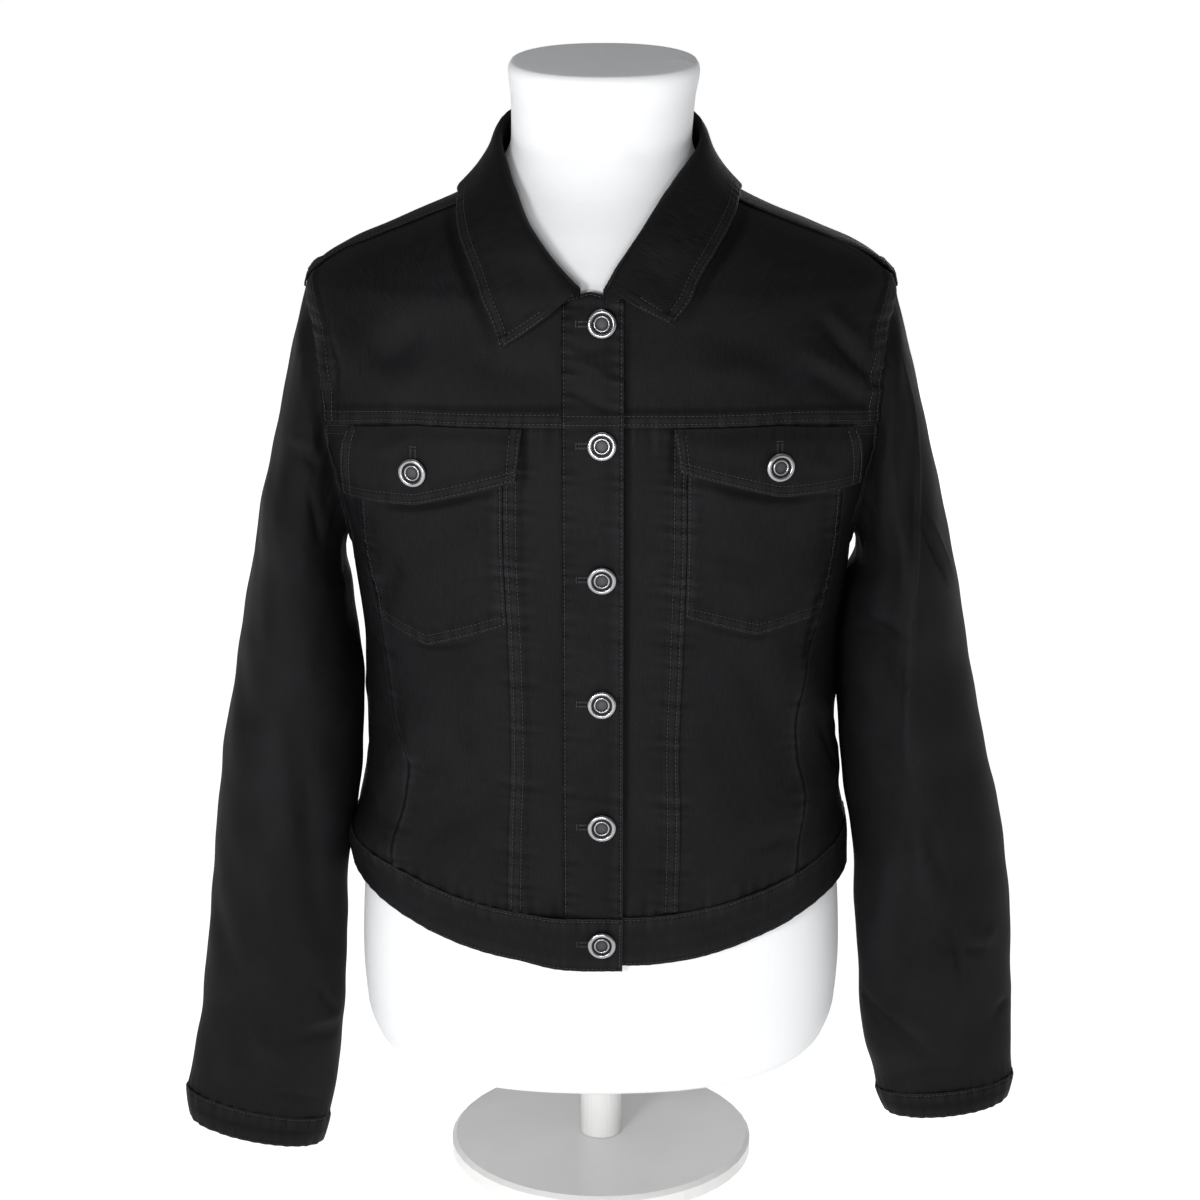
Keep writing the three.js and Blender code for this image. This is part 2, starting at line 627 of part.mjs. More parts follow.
// The left placket lies under the right one, which closes over it
function addPlackets() {
  const from = PLACKET_INNER_X + 4;
  const to = PLACKET_OUTER_X + 3;
  const column = (x) => middleLine(x, hemPoint(hemTurnAt(x)).z, PLACKET_TOP_Z);
  const under = patch({
    bottom: hemRun(hemTurnAt(from), hemTurnAt(to)),
    top: (t) => middleLine(lerp(from, to, t), 0, PLACKET_TOP_Z)(1),
    start: column(from),
    end: column(to),
  }, 3, 20);
  addPanel("placket_left", under);
  const over = patch({
    bottom: hemRun(hemTurnAt(PLACKET_INNER_X), hemTurnAt(PLACKET_OUTER_X)),
    top: (t) => middleLine(lerp(PLACKET_INNER_X, PLACKET_OUTER_X, t), 0, PLACKET_TOP_Z)(1),
    start: column(PLACKET_INNER_X),
    end: column(PLACKET_OUTER_X),
  }, 3, 20);
  addPanel("placket_right", over, OVER);
}

function frontPlace(x, z) {
  return { turn: turnOf(x, z), z };
}

// Runs along a broken line of places on the front
function frontLine(points) {
  const pieces = points.slice(1).map((point, i) => ({
    curve: (t) => frontPlace(lerp(points[i].x, point.x, t), lerp(points[i].z, point.z, t)),
    steps: point.steps,
  }));
  return chain(...pieces);
}

function addPockets() {
  for (const { name, side } of SIDES) {
    const seams = frontSeams(side);
    const pocket = POCKET[name];
    const place = (curve, z) => {
      let t = 0.5;
      for (let i = 0; i < 24; i += 1) t += (z - curve(t).z) / 400;
      const found = curve(t);
      return { x: sectionPoint(torsoAt(z), found.turn, z).x, z };
    };
    const edgeIn = 1.5 * side;
    const topZ = YOKE_SEAM_Z - 14;
    const innerLow = place(seams.strip, pocket.endZ);
    const outerLow = place(seams.side, pocket.endZ - 8);
    const innerTop = place(seams.strip, topZ);
    const outerTop = place(seams.side, topZ - 4);
    const edge = (low, high, shift, curve) => (t) => {
      const z = lerp(low.z, high.z, t);
      return frontPlace(place(curve, z).x + shift, z);
    };
    const grid = sidePatch(side, {
      bottom: frontLine([
        { x: innerLow.x + edgeIn, z: innerLow.z },
        { x: side * pocket.tipX, z: pocket.tipZ, steps: 4 },
        { x: outerLow.x - edgeIn, z: outerLow.z, steps: 3 },
      ]),
      top: frontLine([
        { x: innerTop.x + edgeIn, z: innerTop.z },
        { x: side * pocket.tipX, z: topZ, steps: 4 },
        { x: outerTop.x - edgeIn, z: outerTop.z, steps: 3 },
      ]),
      inner: edge(innerLow, innerTop, edgeIn, seams.strip),
      outer: edge(outerLow, outerTop, -edgeIn, seams.side),
    }, 7, 8);
    addPanel(`pocket_${name}`, grid, OVER);
    const flap = FLAP[name];
    const flapTop = (x) => yokeZ(x) - 1.5;
    const topLine = (x) => ({ x: side * x, z: flapTop(x) });
    const flapGrid = sidePatch(side, {
      bottom: frontLine([
        { x: side * (flap.innerX + FLAP_EDGE_IN), z: flap.innerZ },
        { x: side * flap.pointX, z: flap.pointZ, steps: 5 },
        { x: side * flap.outerX, z: flap.outerZ, steps: 4 },
      ]),
      top: frontLine([
        topLine(flap.innerX),
        { ...topLine(flap.pointX), steps: 5 },
        { ...topLine(flap.outerX - FLAP_EDGE_IN), steps: 4 },
      ]),
      inner: between(
        frontPlace(side * (flap.innerX + FLAP_EDGE_IN), flap.innerZ),
        frontPlace(side * flap.innerX, flapTop(flap.innerX)),
      ),
      outer: between(
        frontPlace(side * flap.outerX, flap.outerZ),
        frontPlace(side * (flap.outerX - FLAP_EDGE_IN), flapTop(flap.outerX)),
      ),
    }, 9, 4);
    addPanel(`flap_${name}`, flapGrid, 2 * OVER);
  }
}

function addBack() {
  const backX = BACK_SEAM[BACK_SEAM.length - 1].left;
  const positive = (curve) => (t) => {
    const place = curve(t);
    return { turn: THREE.MathUtils.euclideanModulo(place.turn, 360), z: place.z };
  };
  const right = positive(frontSeams(-1).back);
  const left = positive(frontSeams(1).back);
  const panelGrid = patch({
    bottom: hemRun(left(0).turn, right(0).turn),
    top: positive((t) => backYokeSeam(lerp(backX, -backX, t))),
    start: left,
    end: right,
  }, 12, PANEL_ROWS);
  addPanel("back_panel", panelGrid);
  // Rows lie closer over the top of the shoulder, where the cloth turns most
  const rows = [0, 1, 2, 3, 4, 4.5, 5, 5.5, 6, 6.5, 7].map((row) => row / 7);
  const yokeGrid = patch({
    bottom: positive((t) => backYokeSeam(lerp(ARMHOLE_BACK_X, -ARMHOLE_BACK_X, t))),
    top: chain(
      { curve: positive(reversed(shoulderSeam(1))), steps: 6 },
      { curve: positive((t) => neckPoint(lerp(SHOULDER_ANGLE, 360 - SHOULDER_ANGLE, t))), steps: 12 },
      { curve: positive(shoulderSeam(-1)), steps: 6 },
    ),
    start: positive(armholeRun(1, -90, ARMHOLE_STEP)),
    end: positive(armholeRun(-1, -90, ARMHOLE_STEP)),
  }, 24, rows);
  addPanel("back_yoke", yokeGrid);
}

// The waistband starts under the right front's end, goes round the back and closes over itself
function addWaistband() {
  const from = hemTurnAt(PLACKET_INNER_X + 2);
  const to = 360 + hemTurnAt(PLACKET_OUTER_X);
  const bandLift = (turn) => {
    const climb = clamp((turn - (360 + from - 16)) / 12, 0, 1);
    return (DOUBLE - CLOTH) + (LAYER_GAP + DOUBLE) * climb * climb * (3 - 2 * climb);
  };
  const drop = (turn) => OVERLAP_DROP * clamp((turn - (360 + from - 16)) / 20, 0, 1);
  const grid = [];
  for (let j = 0; j <= BAND_ROWS; j += 1) {
    const row = [];
    for (let i = 0; i <= BAND_COLUMNS; i += 1) {
      const turn = lerp(from, to, i / BAND_COLUMNS);
      const top = hemPoint(turn).z - SEAM_GAP;
      const height = lerp(WAISTBAND.frontHeight, WAISTBAND.sideHeight, (top - HEM.frontZ) / HEM.rise);
      row.push({ turn, z: lerp(top - height - drop(turn), top, j / BAND_ROWS) });
    }
    grid.push(row);
  }
  const layer = (extra) => grid.map((row) =>
    row.map((place) => surface(place.turn, place.z, bandLift(place.turn) + extra)));
  addPiece("waistband", wallGeometry(layer(0), layer(-DOUBLE)), "denim");
}

// Points of a collar section: up the stand, over the roll and down the fall
function addCollar() {
  const table = smoothTable(COLLAR.map((row, index) => ({ index, ...row })), "index");
  const visible = [];
  for (let i = 0; i <= COLLAR_STATIONS; i += 1) {
    const row = table((i / COLLAR_STATIONS) * (COLLAR.length - 1));
    const seam = seamBelow(row.rollTurn);
    const foot = { turn: row.rollTurn, z: seam.z + COLLAR_ABOVE_SEAM, lift: 0.6 };
    const roll = { turn: row.rollTurn, z: row.rollZ, lift: row.rollLift };
    const edge = { turn: row.edgeTurn, z: row.edgeZ, lift: COLLAR_EDGE_LIFT };
    const mix = (a, b, t, bow) => surface(lerp(a.turn, b.turn, t), lerp(a.z, b.z, t),
      lerp(a.lift, b.lift, t) + bow * Math.sin(Math.PI * t));
    const rolled = { turn: lerp(roll.turn, edge.turn, 0.08), z: lerp(roll.z, edge.z, 0.06), lift: roll.lift + 5 };
    visible.push([
      mix(foot, roll, 0, 0),
      mix(foot, roll, 0.5, 0),
      mix(foot, roll, 0.93, 0),
      surface(rolled.turn, roll.z + 1, roll.lift + 2.5),
      mix(rolled, edge, 0, 0),
      mix(rolled, edge, 0.3, COLLAR_BOW),
      mix(rolled, edge, 0.65, COLLAR_BOW),
      mix(rolled, edge, 1, 0),
    ]);
  }
  addPiece("collar", thickened(visible, COLLAR_CLOTH, false), "denim");
}

// The neck seam's place at a turn round the body
function seamBelow(turn) {
  const s = Math.sin(rad(turn));
  const c = Math.cos(rad(turn));
  const depth = c > 0 ? NECK.front : NECK.back;
  const reach = 1 / Math.hypot(s / NECK.half, c / depth);
  return heightAbove(reach * s, -reach * c);
}

// Gives a grid of points a wall on the side that its normals point away from
function thickened(grid, thickness, round) {
  const rows = grid.length;
  const columns = grid[0].length;
  const at = (j, i) => {
    const column = round ? (i + columns) % columns : clamp(i, 0, columns - 1);
    return grid[clamp(j, 0, rows - 1)][column];
  };
  const inner = grid.map((row, j) => row.map((point, i) => {
    const across = at(j, i + 1).clone().sub(at(j, i - 1));
    const along = at(j + 1, i).clone().sub(at(j - 1, i));
    const normal = across.cross(along).normalize();
    return point.clone().addScaledVector(normal, thickness);
  }));
  return wallGeometry(grid, inner, round);
}

function sleeveFoldRise(folds, row, angle) {
  let rise = 0;
  for (const fold of folds) {
    const aside = THREE.MathUtils.euclideanModulo(angle - fold.angle + 180, 360) - 180;
    rise += fold.rise * Math.exp(-(((row - fold.row) / fold.rows) ** 2) - (aside / fold.wide) ** 2);
  }
  return rise;
}

// One ring of a sleeve: angle 0 is the outer side, 90 the front
function sleeveRing(section, side, angles, rise = () => 0) {
  const outer = new THREE.Vector3(side * section.outX, section.y, section.outZ);
  const inner = new THREE.Vector3(side * section.inX, section.y, section.inZ);
  const centre = outer.clone().add(inner).multiplyScalar(0.5);
  const half = outer.clone().sub(inner).multiplyScalar(0.5);
  return angles.map((angle) => {
    const s = Math.sin(rad(angle));
    const depth = s > 0 ? section.front : section.back;
    const arm = half.clone().multiplyScalar(Math.cos(rad(angle)));
    arm.y -= depth * s;
    return centre.clone().add(arm.setLength(arm.length() + rise(angle)));
  });
}

function addSleeves() {
  const angles = [];
  for (let angle = 0; angle < 360; angle += ARMHOLE_STEP) angles.push(angle);
  for (const { name, side } of SIDES) {
    const order = side < 0 ? angles : angles.slice().reverse();
    const top = order.map((angle) => {
      const place = armholePoint(angle, side);
      const point = surface(place.turn, place.z);
      const toMiddle = new THREE.Vector3(0, -point.y, ARMHOLE.z - point.z).setLength(SEAM_GAP);
      return point.add(toMiddle);
    });
    const section = smoothTable(SLEEVES[name].map((row, i) => ({ index: i + 1, ...row })), "index");
    const grid = [top];
    const rows = SLEEVES[name].length;
    const folds = SLEEVE_FOLDS[name];
    for (let step = 0; step <= SLEEVE_STEPS; step += 1) {
      const place = 1 + (step * (rows - 1)) / SLEEVE_STEPS;
      grid.push(sleeveRing(section(place), side, order, (angle) => sleeveFoldRise(folds, place, angle)));
    }
    addPiece(`sleeve_${name}`, thickened(grid, CLOTH, true), "denim");
    const last = SLEEVES[name][rows - 1];
    const lowered = { ...last, outZ: last.outZ - CUFF_GAP, inZ: last.inZ - CUFF_GAP };
    const widened = (row) => ({
      ...row, outX: row.outX + 0.8, inX: row.inX - 0.8, front: row.front + 0.8, back: row.back + 0.8,
    });
    const folded = (angle) => sleeveFoldRise(folds, rows, angle);
    const cuff = [
      sleeveRing(widened(lowered), side, order, folded),
      sleeveRing(widened(CUFFS[name]), side, order),
    ];
    addPiece(`cuff_${name}`, thickened(cuff, DOUBLE, true), "denim");
  }
}

// A button is turned about its shank and faces away from the cloth
function addButton(name, x, z, lift) {
  const place = frontPlace(x, z);
  const foot = surface(place.turn, place.z, lift + SEAM_GAP);
  const normal = surface(place.turn, place.z, lift + 10).sub(foot).normalize();
  const profile = [
    [0, 0],
    [BUTTON.backRadius, 0],
    [BUTTON.radius, 1.4],
    [BUTTON.radius - 0.4, 2.8],
    [BUTTON.radius - 2, BUTTON.rim],
    [BUTTON.radius - 4, BUTTON.well],
    [BUTTON.ringRadius, BUTTON.well + 0.7],
    [0, BUTTON.well + 0.3],
  ].map(([radius, height]) => new THREE.Vector2(radius, height));
  const mesh = addPiece(name, new THREE.LatheGeometry(profile, BUTTON.segments), "button", foot);
  mesh.quaternion.setFromUnitVectors(new THREE.Vector3(0, 1, 0), normal);
}

function addButtons() {
  const bandLift = DOUBLE - CLOTH + LAYER_GAP + DOUBLE;
  BUTTON_HEIGHTS.forEach((z, index) => {
    const onBand = index === BUTTON_HEIGHTS.length - 1;
    addButton(`placket_button_${index + 1}`, BUTTON_X, z, onBand ? bandLift : OVER);
  });
  for (const { name } of SIDES) {
    const button = FLAP_BUTTONS[name];
    addButton(`flap_button_${name}`, button.x, button.z, 2 * OVER);
  }
}

function addForm() {
  const rows = [];
  for (const section of FORM) {
    const row = [];
    for (let i = 0; i < FORM_SEGMENTS; i += 1) {
      const point = sectionPoint(formAt(section.z), (360 * i) / FORM_SEGMENTS, section.z);
      const share = clamp((section.z - CAP_TILT_FROM_Z) / 50, 0, 1);
      point.z += CAP_TILT * share * point.y;
      point.x += CAP_SHIFT * share;
      row.push(point);
    }
    rows.push(row);
  }
  const points = rows.flat();
  const triangles = [];
  const at = (j, i) => j * FORM_SEGMENTS + (i % FORM_SEGMENTS);
  for (let j = 0; j < rows.length - 1; j += 1) {
    for (let i = 0; i < FORM_SEGMENTS; i += 1) {
      triangles.push(at(j, i), at(j, i + 1), at(j + 1, i + 1), at(j, i), at(j + 1, i + 1), at(j + 1, i));
    }
  }
  const lowest = points.length;
  points.push(new THREE.Vector3(0, 0, FORM[0].z));
  points.push(new THREE.Vector3(CAP_SHIFT, 0, FORM[FORM.length - 1].z));
  for (let i = 0; i < FORM_SEGMENTS; i += 1) {
    triangles.push(lowest, at(0, i + 1), at(0, i));
    triangles.push(lowest + 1, at(rows.length - 1, i), at(rows.length - 1, i + 1));
  }
  addPiece("dress_form", closedGeometry(points, triangles), "form");
}

function addStand() {
  const profile = [
    [0, 0],
    [BASE.radius, 0],
    [BASE.radius, BASE.height - BASE.edge],
    [BASE.radius - BASE.edge, BASE.height],
    [0, BASE.height],
  ].map(([radius, height]) => new THREE.Vector2(radius, height));
  const base = addPiece("stand_base", new THREE.LatheGeometry(profile, BASE.segments), "stand");
  base.rotation.x = Math.PI / 2;
  const height = FORM[0].z - BASE.height - 2 * SEAM_GAP;
  const post = new THREE.CylinderGeometry(POST.radius, POST.radius, height, POST.segments);
  const middle = new THREE.Vector3(0, 0, BASE.height + SEAM_GAP + height / 2);
  addPiece("stand_post", post, "stand", middle).rotation.x = Math.PI / 2;
}

addFronts();
addPlackets();
addPockets();
addBack();
addWaistband();
addCollar();
addSleeves();
addButtons();
addForm();
addStand();

export default group;
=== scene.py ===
import math

import bpy
import numpy as np
from mathutils import Matrix, Vector


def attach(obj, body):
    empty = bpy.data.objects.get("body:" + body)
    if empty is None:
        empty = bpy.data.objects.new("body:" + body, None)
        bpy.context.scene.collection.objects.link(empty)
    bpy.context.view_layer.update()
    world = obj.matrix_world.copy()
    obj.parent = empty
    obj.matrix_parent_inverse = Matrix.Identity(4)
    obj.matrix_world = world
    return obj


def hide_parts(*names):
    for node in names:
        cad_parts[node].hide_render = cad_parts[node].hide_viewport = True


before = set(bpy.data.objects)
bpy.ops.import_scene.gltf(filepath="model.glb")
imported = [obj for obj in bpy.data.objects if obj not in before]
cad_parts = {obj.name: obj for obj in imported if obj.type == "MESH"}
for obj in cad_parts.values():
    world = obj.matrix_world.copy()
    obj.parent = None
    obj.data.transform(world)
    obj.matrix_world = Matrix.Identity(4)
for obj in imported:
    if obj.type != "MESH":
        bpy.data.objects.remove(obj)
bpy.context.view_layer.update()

bl_info = {
    "name": "Denim jacket on a dress form",
    "version": (1, 0, 0),
    "blender": (4, 5, 0),
    "location": "3D View > Sidebar > Jacket",
    "description": "Builds a black denim jacket, the form that wears it and a plain studio",
    "category": "Add Mesh",
}

# Tables are in millimetres, as the frame's own are, and meshes are in metres.
# The front faces -Y, and +X is the wearer's left.
MM = 0.001
SIDES = (("right", -1), ("left", 1))

# Heights and widths of the front
YOKE_SEAM_Z = 575
BACK_YOKE_Z = 575
YOKE_LEVEL_X = 120
PLACKET_TOP = (656, 661, 656)  # heights of its top edge: inner end, middle, outer end
PLACKET_UNDER_TOP = (648, 655, 652)
PLACKET_LIFT = 2.3
PLACKET_SEAM_LIFT = 1.9  # at its stitched inner edge
PLACKET_UNDER_LIFT = -1.2
POCKET_LIFT = 1.4
PLACKET_INNER_X = -26
PLACKET_OUTER_X = 15
WAISTBAND = {"front_height": 37, "side_height": 31.5, "drop": 3, "lift": 1.3}
WAISTBAND_LAP = {"before": 16, "climb": 12, "fall": 20, "lift": 3.0}  # degrees, and how far it rises
HEM = {"front_z": 225, "rise": 42, "front_y": -108, "reach": 35}
ARMHOLE = {"z": 565, "up": 90, "front": 62, "back": 66}
ARMHOLE_STEP = 15
NECK = {"half": 80, "front": 98, "back": 69, "shoulder_y": -27}

# z, half, front, back, square
TORSO = (
    (120, 171, 103, 108, 2.5),
    (200, 175, 107, 113, 2.5),
    (250, 175, 110, 112, 2.5),
    (300, 167, 114, 106, 2.4),
    (350, 164, 114, 100, 2.4),
    (400, 165, 113, 97, 2.4),
    (440, 170, 114, 99, 2.5),
    (480, 175, 118, 103, 2.6),
    (520, 187, 120, 108, 2.7),
    (560, 198, 117, 112, 2.8),
    (600, 202, 110, 112, 2.7),
    (635, 203, 102, 107, 2.4),
    (655, 200, 97, 102, 2.3),
    (666, 190, 92, 97, 2.2),
    (675, 176, 88, 93, 2.2),
    (685, 153, 84, 88, 2.2),
    (697, 124, 78, 83, 2.2),
    (710, 96, 71, 76, 2.2),
    (722, 80, 65, 68, 2.2),
    (745, 66, 57, 61, 2.2),
    (765, 64, 56, 60, 2.2),
    (800, 64, 56, 60, 2.2),
)
# z, half, front, back, square
FORM = (
    (72, 96, 56, 60, 2.2),
    (76, 122, 74, 78, 2.3),
    (86, 146, 89, 94, 2.4),
    (102, 161, 97, 103, 2.5),
    (126, 169, 101, 107, 2.5),
    (165, 171.5, 101, 107, 2.5),
    (210, 170, 101, 105, 2.5),
    (260, 156, 101, 98, 2.4),
    (330, 142, 101, 88, 2.4),
    (400, 146, 104, 88, 2.4),
    (470, 156, 110, 94, 2.4),
    (520, 162, 113, 100, 2.4),
    (570, 167, 109, 105, 2.5),
    (610, 176, 102, 104, 2.4),
    (640, 187, 96, 100, 2.3),
    (655, 190, 92, 94, 2.3),
    (664, 183, 88, 87, 2.2),
    (672, 172, 85, 82, 2.2),
    (682, 150, 80, 76, 2.2),
    (694, 121, 74, 71, 2.2),
    (706, 95, 66.5, 67, 2.2),
    (718, 76, 60, 61, 2.2),
    (732, 67, 55, 60, 2.2),
    (748, 61, 52, 57, 2.2),
    (775, 62, 52, 57, 2.2),
    (795, 64.5, 54, 58, 2.2),
    (799, 62.5, 52, 56, 2.2),
)
# z, right, left
STRIP_SEAM = (
    (210, 64, 52),
    (290, 62, 53),
    (347, 60, 52),
    (410, 61, 54),
    (500, 64, 56),
    (580, 63, 56),
)
# z, right, left
SIDE_SEAM = (
    (210, 145, 136),
    (252, 144, 136),
    (309, 132, 139),
    (330, 129, 135),
    (359, 142, 132),
    (397, 147, 138),
    (441, 153, 153),
    (485, 161, 160),
    (575, 163, 163),
)
# z, right, left
BACK_SEAM = (
    (210, 96, 96),
    (330, 92, 92),
    (450, 112, 112),
    (575, 150, 150),
)
# turn, z, heading, long, wide, rise
FOLDS = (
    (-62, 322, 62, 60, 17, 5),
    (-70, 262, 20, 55, 15, 5),
    (64, 372, -58, 50, 18, 5),
    (70, 300, 15, 50, 16, 4),
    (-118, 300, -20, 60, 18, 4),
    (122, 340, 25, 60, 18, 4),
    (160, 390, 8, 70, 18, 3),
    (-158, 440, -12, 70, 18, -3),
)
# rollTurn, rollZ, rollLift, edgeTurn, edgeZ
COLLAR = (
    (-8, 662, 7, -33, 624),
    (-14, 671, 7, -37, 643),
    (-22, 684, 7, -43, 663),
    (-31, 698, 6, -51, 683),
    (-44, 718, 4, -62, 699),
    (-60, 735, 2, -74, 707),
    (-76, 746, 1.5, -84, 710),
    (-92, 754, 1.5, -95, 710),
    (-120, 761, 2.5, -121, 705),
    (-150, 765, 4, -150, 700),
    (-180, 766, 4.5, -180, 698),
    (-210, 765, 4, -210, 700),
    (-240, 761, 2.5, -239, 705),
    (-268, 754, 1.5, -265, 711),
    (-284, 748, 1.5, -277, 711.5),
    (-300, 740, 2, -288, 709),
    (-320, 726, 4, -300, 702),
    (-333, 711, 6, -312, 689),
    (-344, 694, 7, -322, 671),
    (-353, 678, 7, -329, 653),
    (-359, 662, 7, -335, 640),
)
# Outer x, outer z, inner x, inner z, half depth to the front, half depth to the back, y
SLEEVES = {
    "right": (
        (207, 628, 178, 468, 67, 70, 0),
        (219, 571, 179, 460, 71, 71, -1),
        (232, 511, 178.5, 450, 71, 69, -3),
        (244, 449, 174, 432, 67, 65, -5),
        (256, 385, 166.5, 374, 60, 58, -8),
        (267, 320, 169.5, 304, 54, 52, -11),
        (275, 250, 180, 232, 47, 46, -13),
        (282, 180, 184, 160, 40, 40, -14),
        (291, 112, 189, 90, 32, 32, -15),
        (302, 56, 199, 33, 26, 26, -16),
    ),
    "left": (
        (206, 627, 178, 470, 67, 70, 0),
        (219, 575, 179, 463, 71, 71, -1),
        (234, 511, 178.5, 454, 71, 69, -3),
        (248, 446, 170.5, 436, 67, 65, -5),
        (259, 386, 166, 378, 60, 58, -8),
        (271, 326, 169.5, 312, 54, 52, -11),
        (286, 258, 180, 242, 47, 46, -13),
        (294, 190, 184, 174, 40, 40, -14),
        (297, 125, 190, 108, 32, 32, -15),
        (300, 67, 201, 55, 26, 26, -16),
    ),
}
ARMHOLE_RINGS = ((3, -0.4), (0, -0.35))  # how far out and how high a sleeve's first rings lie
RINGS_A_ROW = 3
# Row, angle, rows long, degrees wide, rise
SLEEVE_FOLDS = {
    "right": (
        (3.1, 60, 0.5, 40, 5),
        (4.6, 150, 0.6, 40, -5),
        (5.2, 70, 0.5, 50, -4),
        (8.2, 100, 0.5, 60, 4),
        (9.2, 90, 0.35, 50, 4),
    ),
    "left": (
        (4.0, 92, 3.2, 13, 6),
        (2.6, 70, 0.7, 24, -5),
        (8.3, 95, 0.5, 50, 5),
        (9.2, 120, 0.4, 50, 4),
    ),
}

# Collar: lift of its edge and bow of its fall
COLLAR_EDGE_LIFT = 4
COLLAR_BOW = 3
COLLAR_ABOVE_SEAM = 1.2

# Cuffs: outer and inner side of the lower edge, half depths and place forward
CUFFS = {"right": (300, 32, 205, 12, 26, 26, -16), "left": (296, 48, 209, 37, 26, 26, -16)}
# What a cuff has over the sleeve's last ring and over its own lower edge's sizes
CUFF_TOP_MORE = (1.1, 1.2, -1.1, 1.2, 1.1, 1.1, 0)
CUFF_HEM_MORE = (0.8, 0, -0.8, 0, 0.8, 0.8, 0)

# Pocket and flap outlines, by the distance from the middle
POCKET = {"right": (117, 417, 437), "left": (104, 427, 443)}  # point x, point z, side z
FLAP = {  # inner x, outer x, inner z, point x, point z, outer z
    "right": (52, 172, 539, 123, 520, 518),
    "left": (48, 173, 545, 118, 526, 526),
}
FLAP_EDGE_IN = 4
FLAP_LIFT = 3.9
FLAP_TOP_LIFT = 2.3

BUTTON_X = 0.5
BUTTON_HEIGHTS = (641, 563, 472, 383, 295, 207)
FLAP_BUTTONS = {"right": (-123, 543), "left": (117, 547)}

# Buttons and buttonholes: how far over the cloth's surface they lie, and their size
BUTTON_LIFT = 2.35
BAND_BUTTON_LIFT = 4.35
FLAP_BUTTON_LIFT = 4.0
BUTTONHOLE_AWAY = 6.5
BUTTONHOLE_HALF = 10.5
BUTTONHOLE_WIDE = 1.5

TINY = 1e-6
BODY_REACH = 130  # a usual distance from the middle, which turns degrees into lengths
TURN_MM = 2.27  # the length of one degree there
PUCKER_PITCH = 8.2
WIDE_PUCKER_PITCH = 23
COLLAR_LENGTH = 470
COLLAR_END = 13  # the collar's even steps begin this far from its ends
FLAP_THICKNESS = 0.0014

CAP_TILT = 0.08
CAP_SHIFT = 2
CAP_TILT_FROM_Z = 740


# Curves and surfaces


def mix(a, b, t):
    return a + (b - a) * t


def smooth_step(low, high, value):
    t = np.clip((value - low) / (high - low), 0, 1)
    return t * t * (3 - 2 * t)


class Table:
    """A smooth curve through a table's rows that never overshoots them."""

    def __init__(self, rows):
        data = np.array(rows, float)
        self.keys, self.values = data[:, 0], data[:, 1:]
        steps = np.diff(self.values, axis=0) / np.diff(self.keys)[:, None]
        product = steps[:-1] * steps[1:]
        total = steps[:-1] + steps[1:]
        inner = np.where(product > 0, 2 * product / np.where(total == 0, 1, total), 0)
        self.slopes = np.vstack([steps[:1], inner, steps[-1:]])

    def __call__(self, where):
        where = np.clip(np.asarray(where, float), self.keys[0], self.keys[-1])
        index = np.clip(np.searchsorted(self.keys, where, side="right") - 1, 0, len(self.keys) - 2)
        span = (self.keys[index + 1] - self.keys[index])[..., None]
        t = (where - self.keys[index])[..., None] / span
        low, high = self.values[index], self.values[index + 1]
        start, end = self.slopes[index] * span, self.slopes[index + 1] * span
        rise = high - low
        bend = (3 * rise - 2 * start - end) * t * t + (start + end - 2 * rise) * t**3
        return low + start * t + bend


torso = Table(TORSO)
form_sections = Table(FORM)


def section_point(table, turn, z):
    """A point of a section seen from above: turn 0 is the front, 90 the wearer's left."""
    turn, z = np.broadcast_arrays(np.asarray(turn, float), np.asarray(z, float))
    half, front, back, square = np.moveaxis(table(z), -1, 0)
    s, c = np.sin(np.radians(turn)), np.cos(np.radians(turn))
    depth = np.where(c > 0, front, back)
    reach = (np.abs(s / half) ** square + np.abs(c / depth) ** square) ** (-1 / square)
    return np.stack([s * reach, -c * reach, z], axis=-1)


def fold_rise(turn, z):
    """How far the large folds of the worn cloth stand out."""
    total = np.zeros(np.broadcast(turn, z).shape)
    for fold_turn, fold_z, heading, long, wide, rise in FOLDS:
        apart = (turn - fold_turn + 180) % 360 - 180
        across, up = np.radians(apart) * BODY_REACH, z - fold_z
        c, s = math.cos(math.radians(heading)), math.sin(math.radians(heading))
        along, aside = across * c + up * s, up * c - across * s
        total = total + rise * np.exp(-((aside / wide) ** 2) - (along / long) ** 2)
    return total


def unit(vectors):
    return vectors / np.maximum(np.linalg.norm(vectors, axis=-1, keepdims=True), 1e-9)


def hump(distance, wide, at=0):
    """1 at one distance, and less and less to both sides of it."""
    return np.exp(-(((distance - at) / wide) ** 2))


def keys_along(points):
    """How far along a line each of its points is."""
    return np.concatenate([[0], np.cumsum(np.linalg.norm(np.diff(points, axis=0), axis=1))])


def surface(turn, z, lift=0):
    """A point of the worn jacket, moved out by the lift."""
    small = 0.5
    round_it = section_point(torso, turn + small, z) - section_point(torso, turn - small, z)
    up = section_point(torso, turn, z + small) - section_point(torso, turn, z - small)
    normal = unit(np.cross(round_it, up))
    return section_point(torso, turn, z) + normal * np.asarray(lift + fold_rise(turn, z))[..., None]


def places(turn, z):
    return np.stack(np.broadcast_arrays(np.asarray(turn, float), np.asarray(z, float)), axis=-1)


def turn_of(x, z, behind=False):
    """Where a distance from the middle lies on the jacket, as a turn."""
    half, front, back, square = np.moveaxis(torso(z), -1, 0)
    part = np.maximum(1 - np.abs(x / half) ** square, 0) ** (1 / square)
    y = back * part if behind else -front * part
    return np.degrees(np.arctan2(x, -y))


def front_place(x, z):
    return places(turn_of(x, z), z)


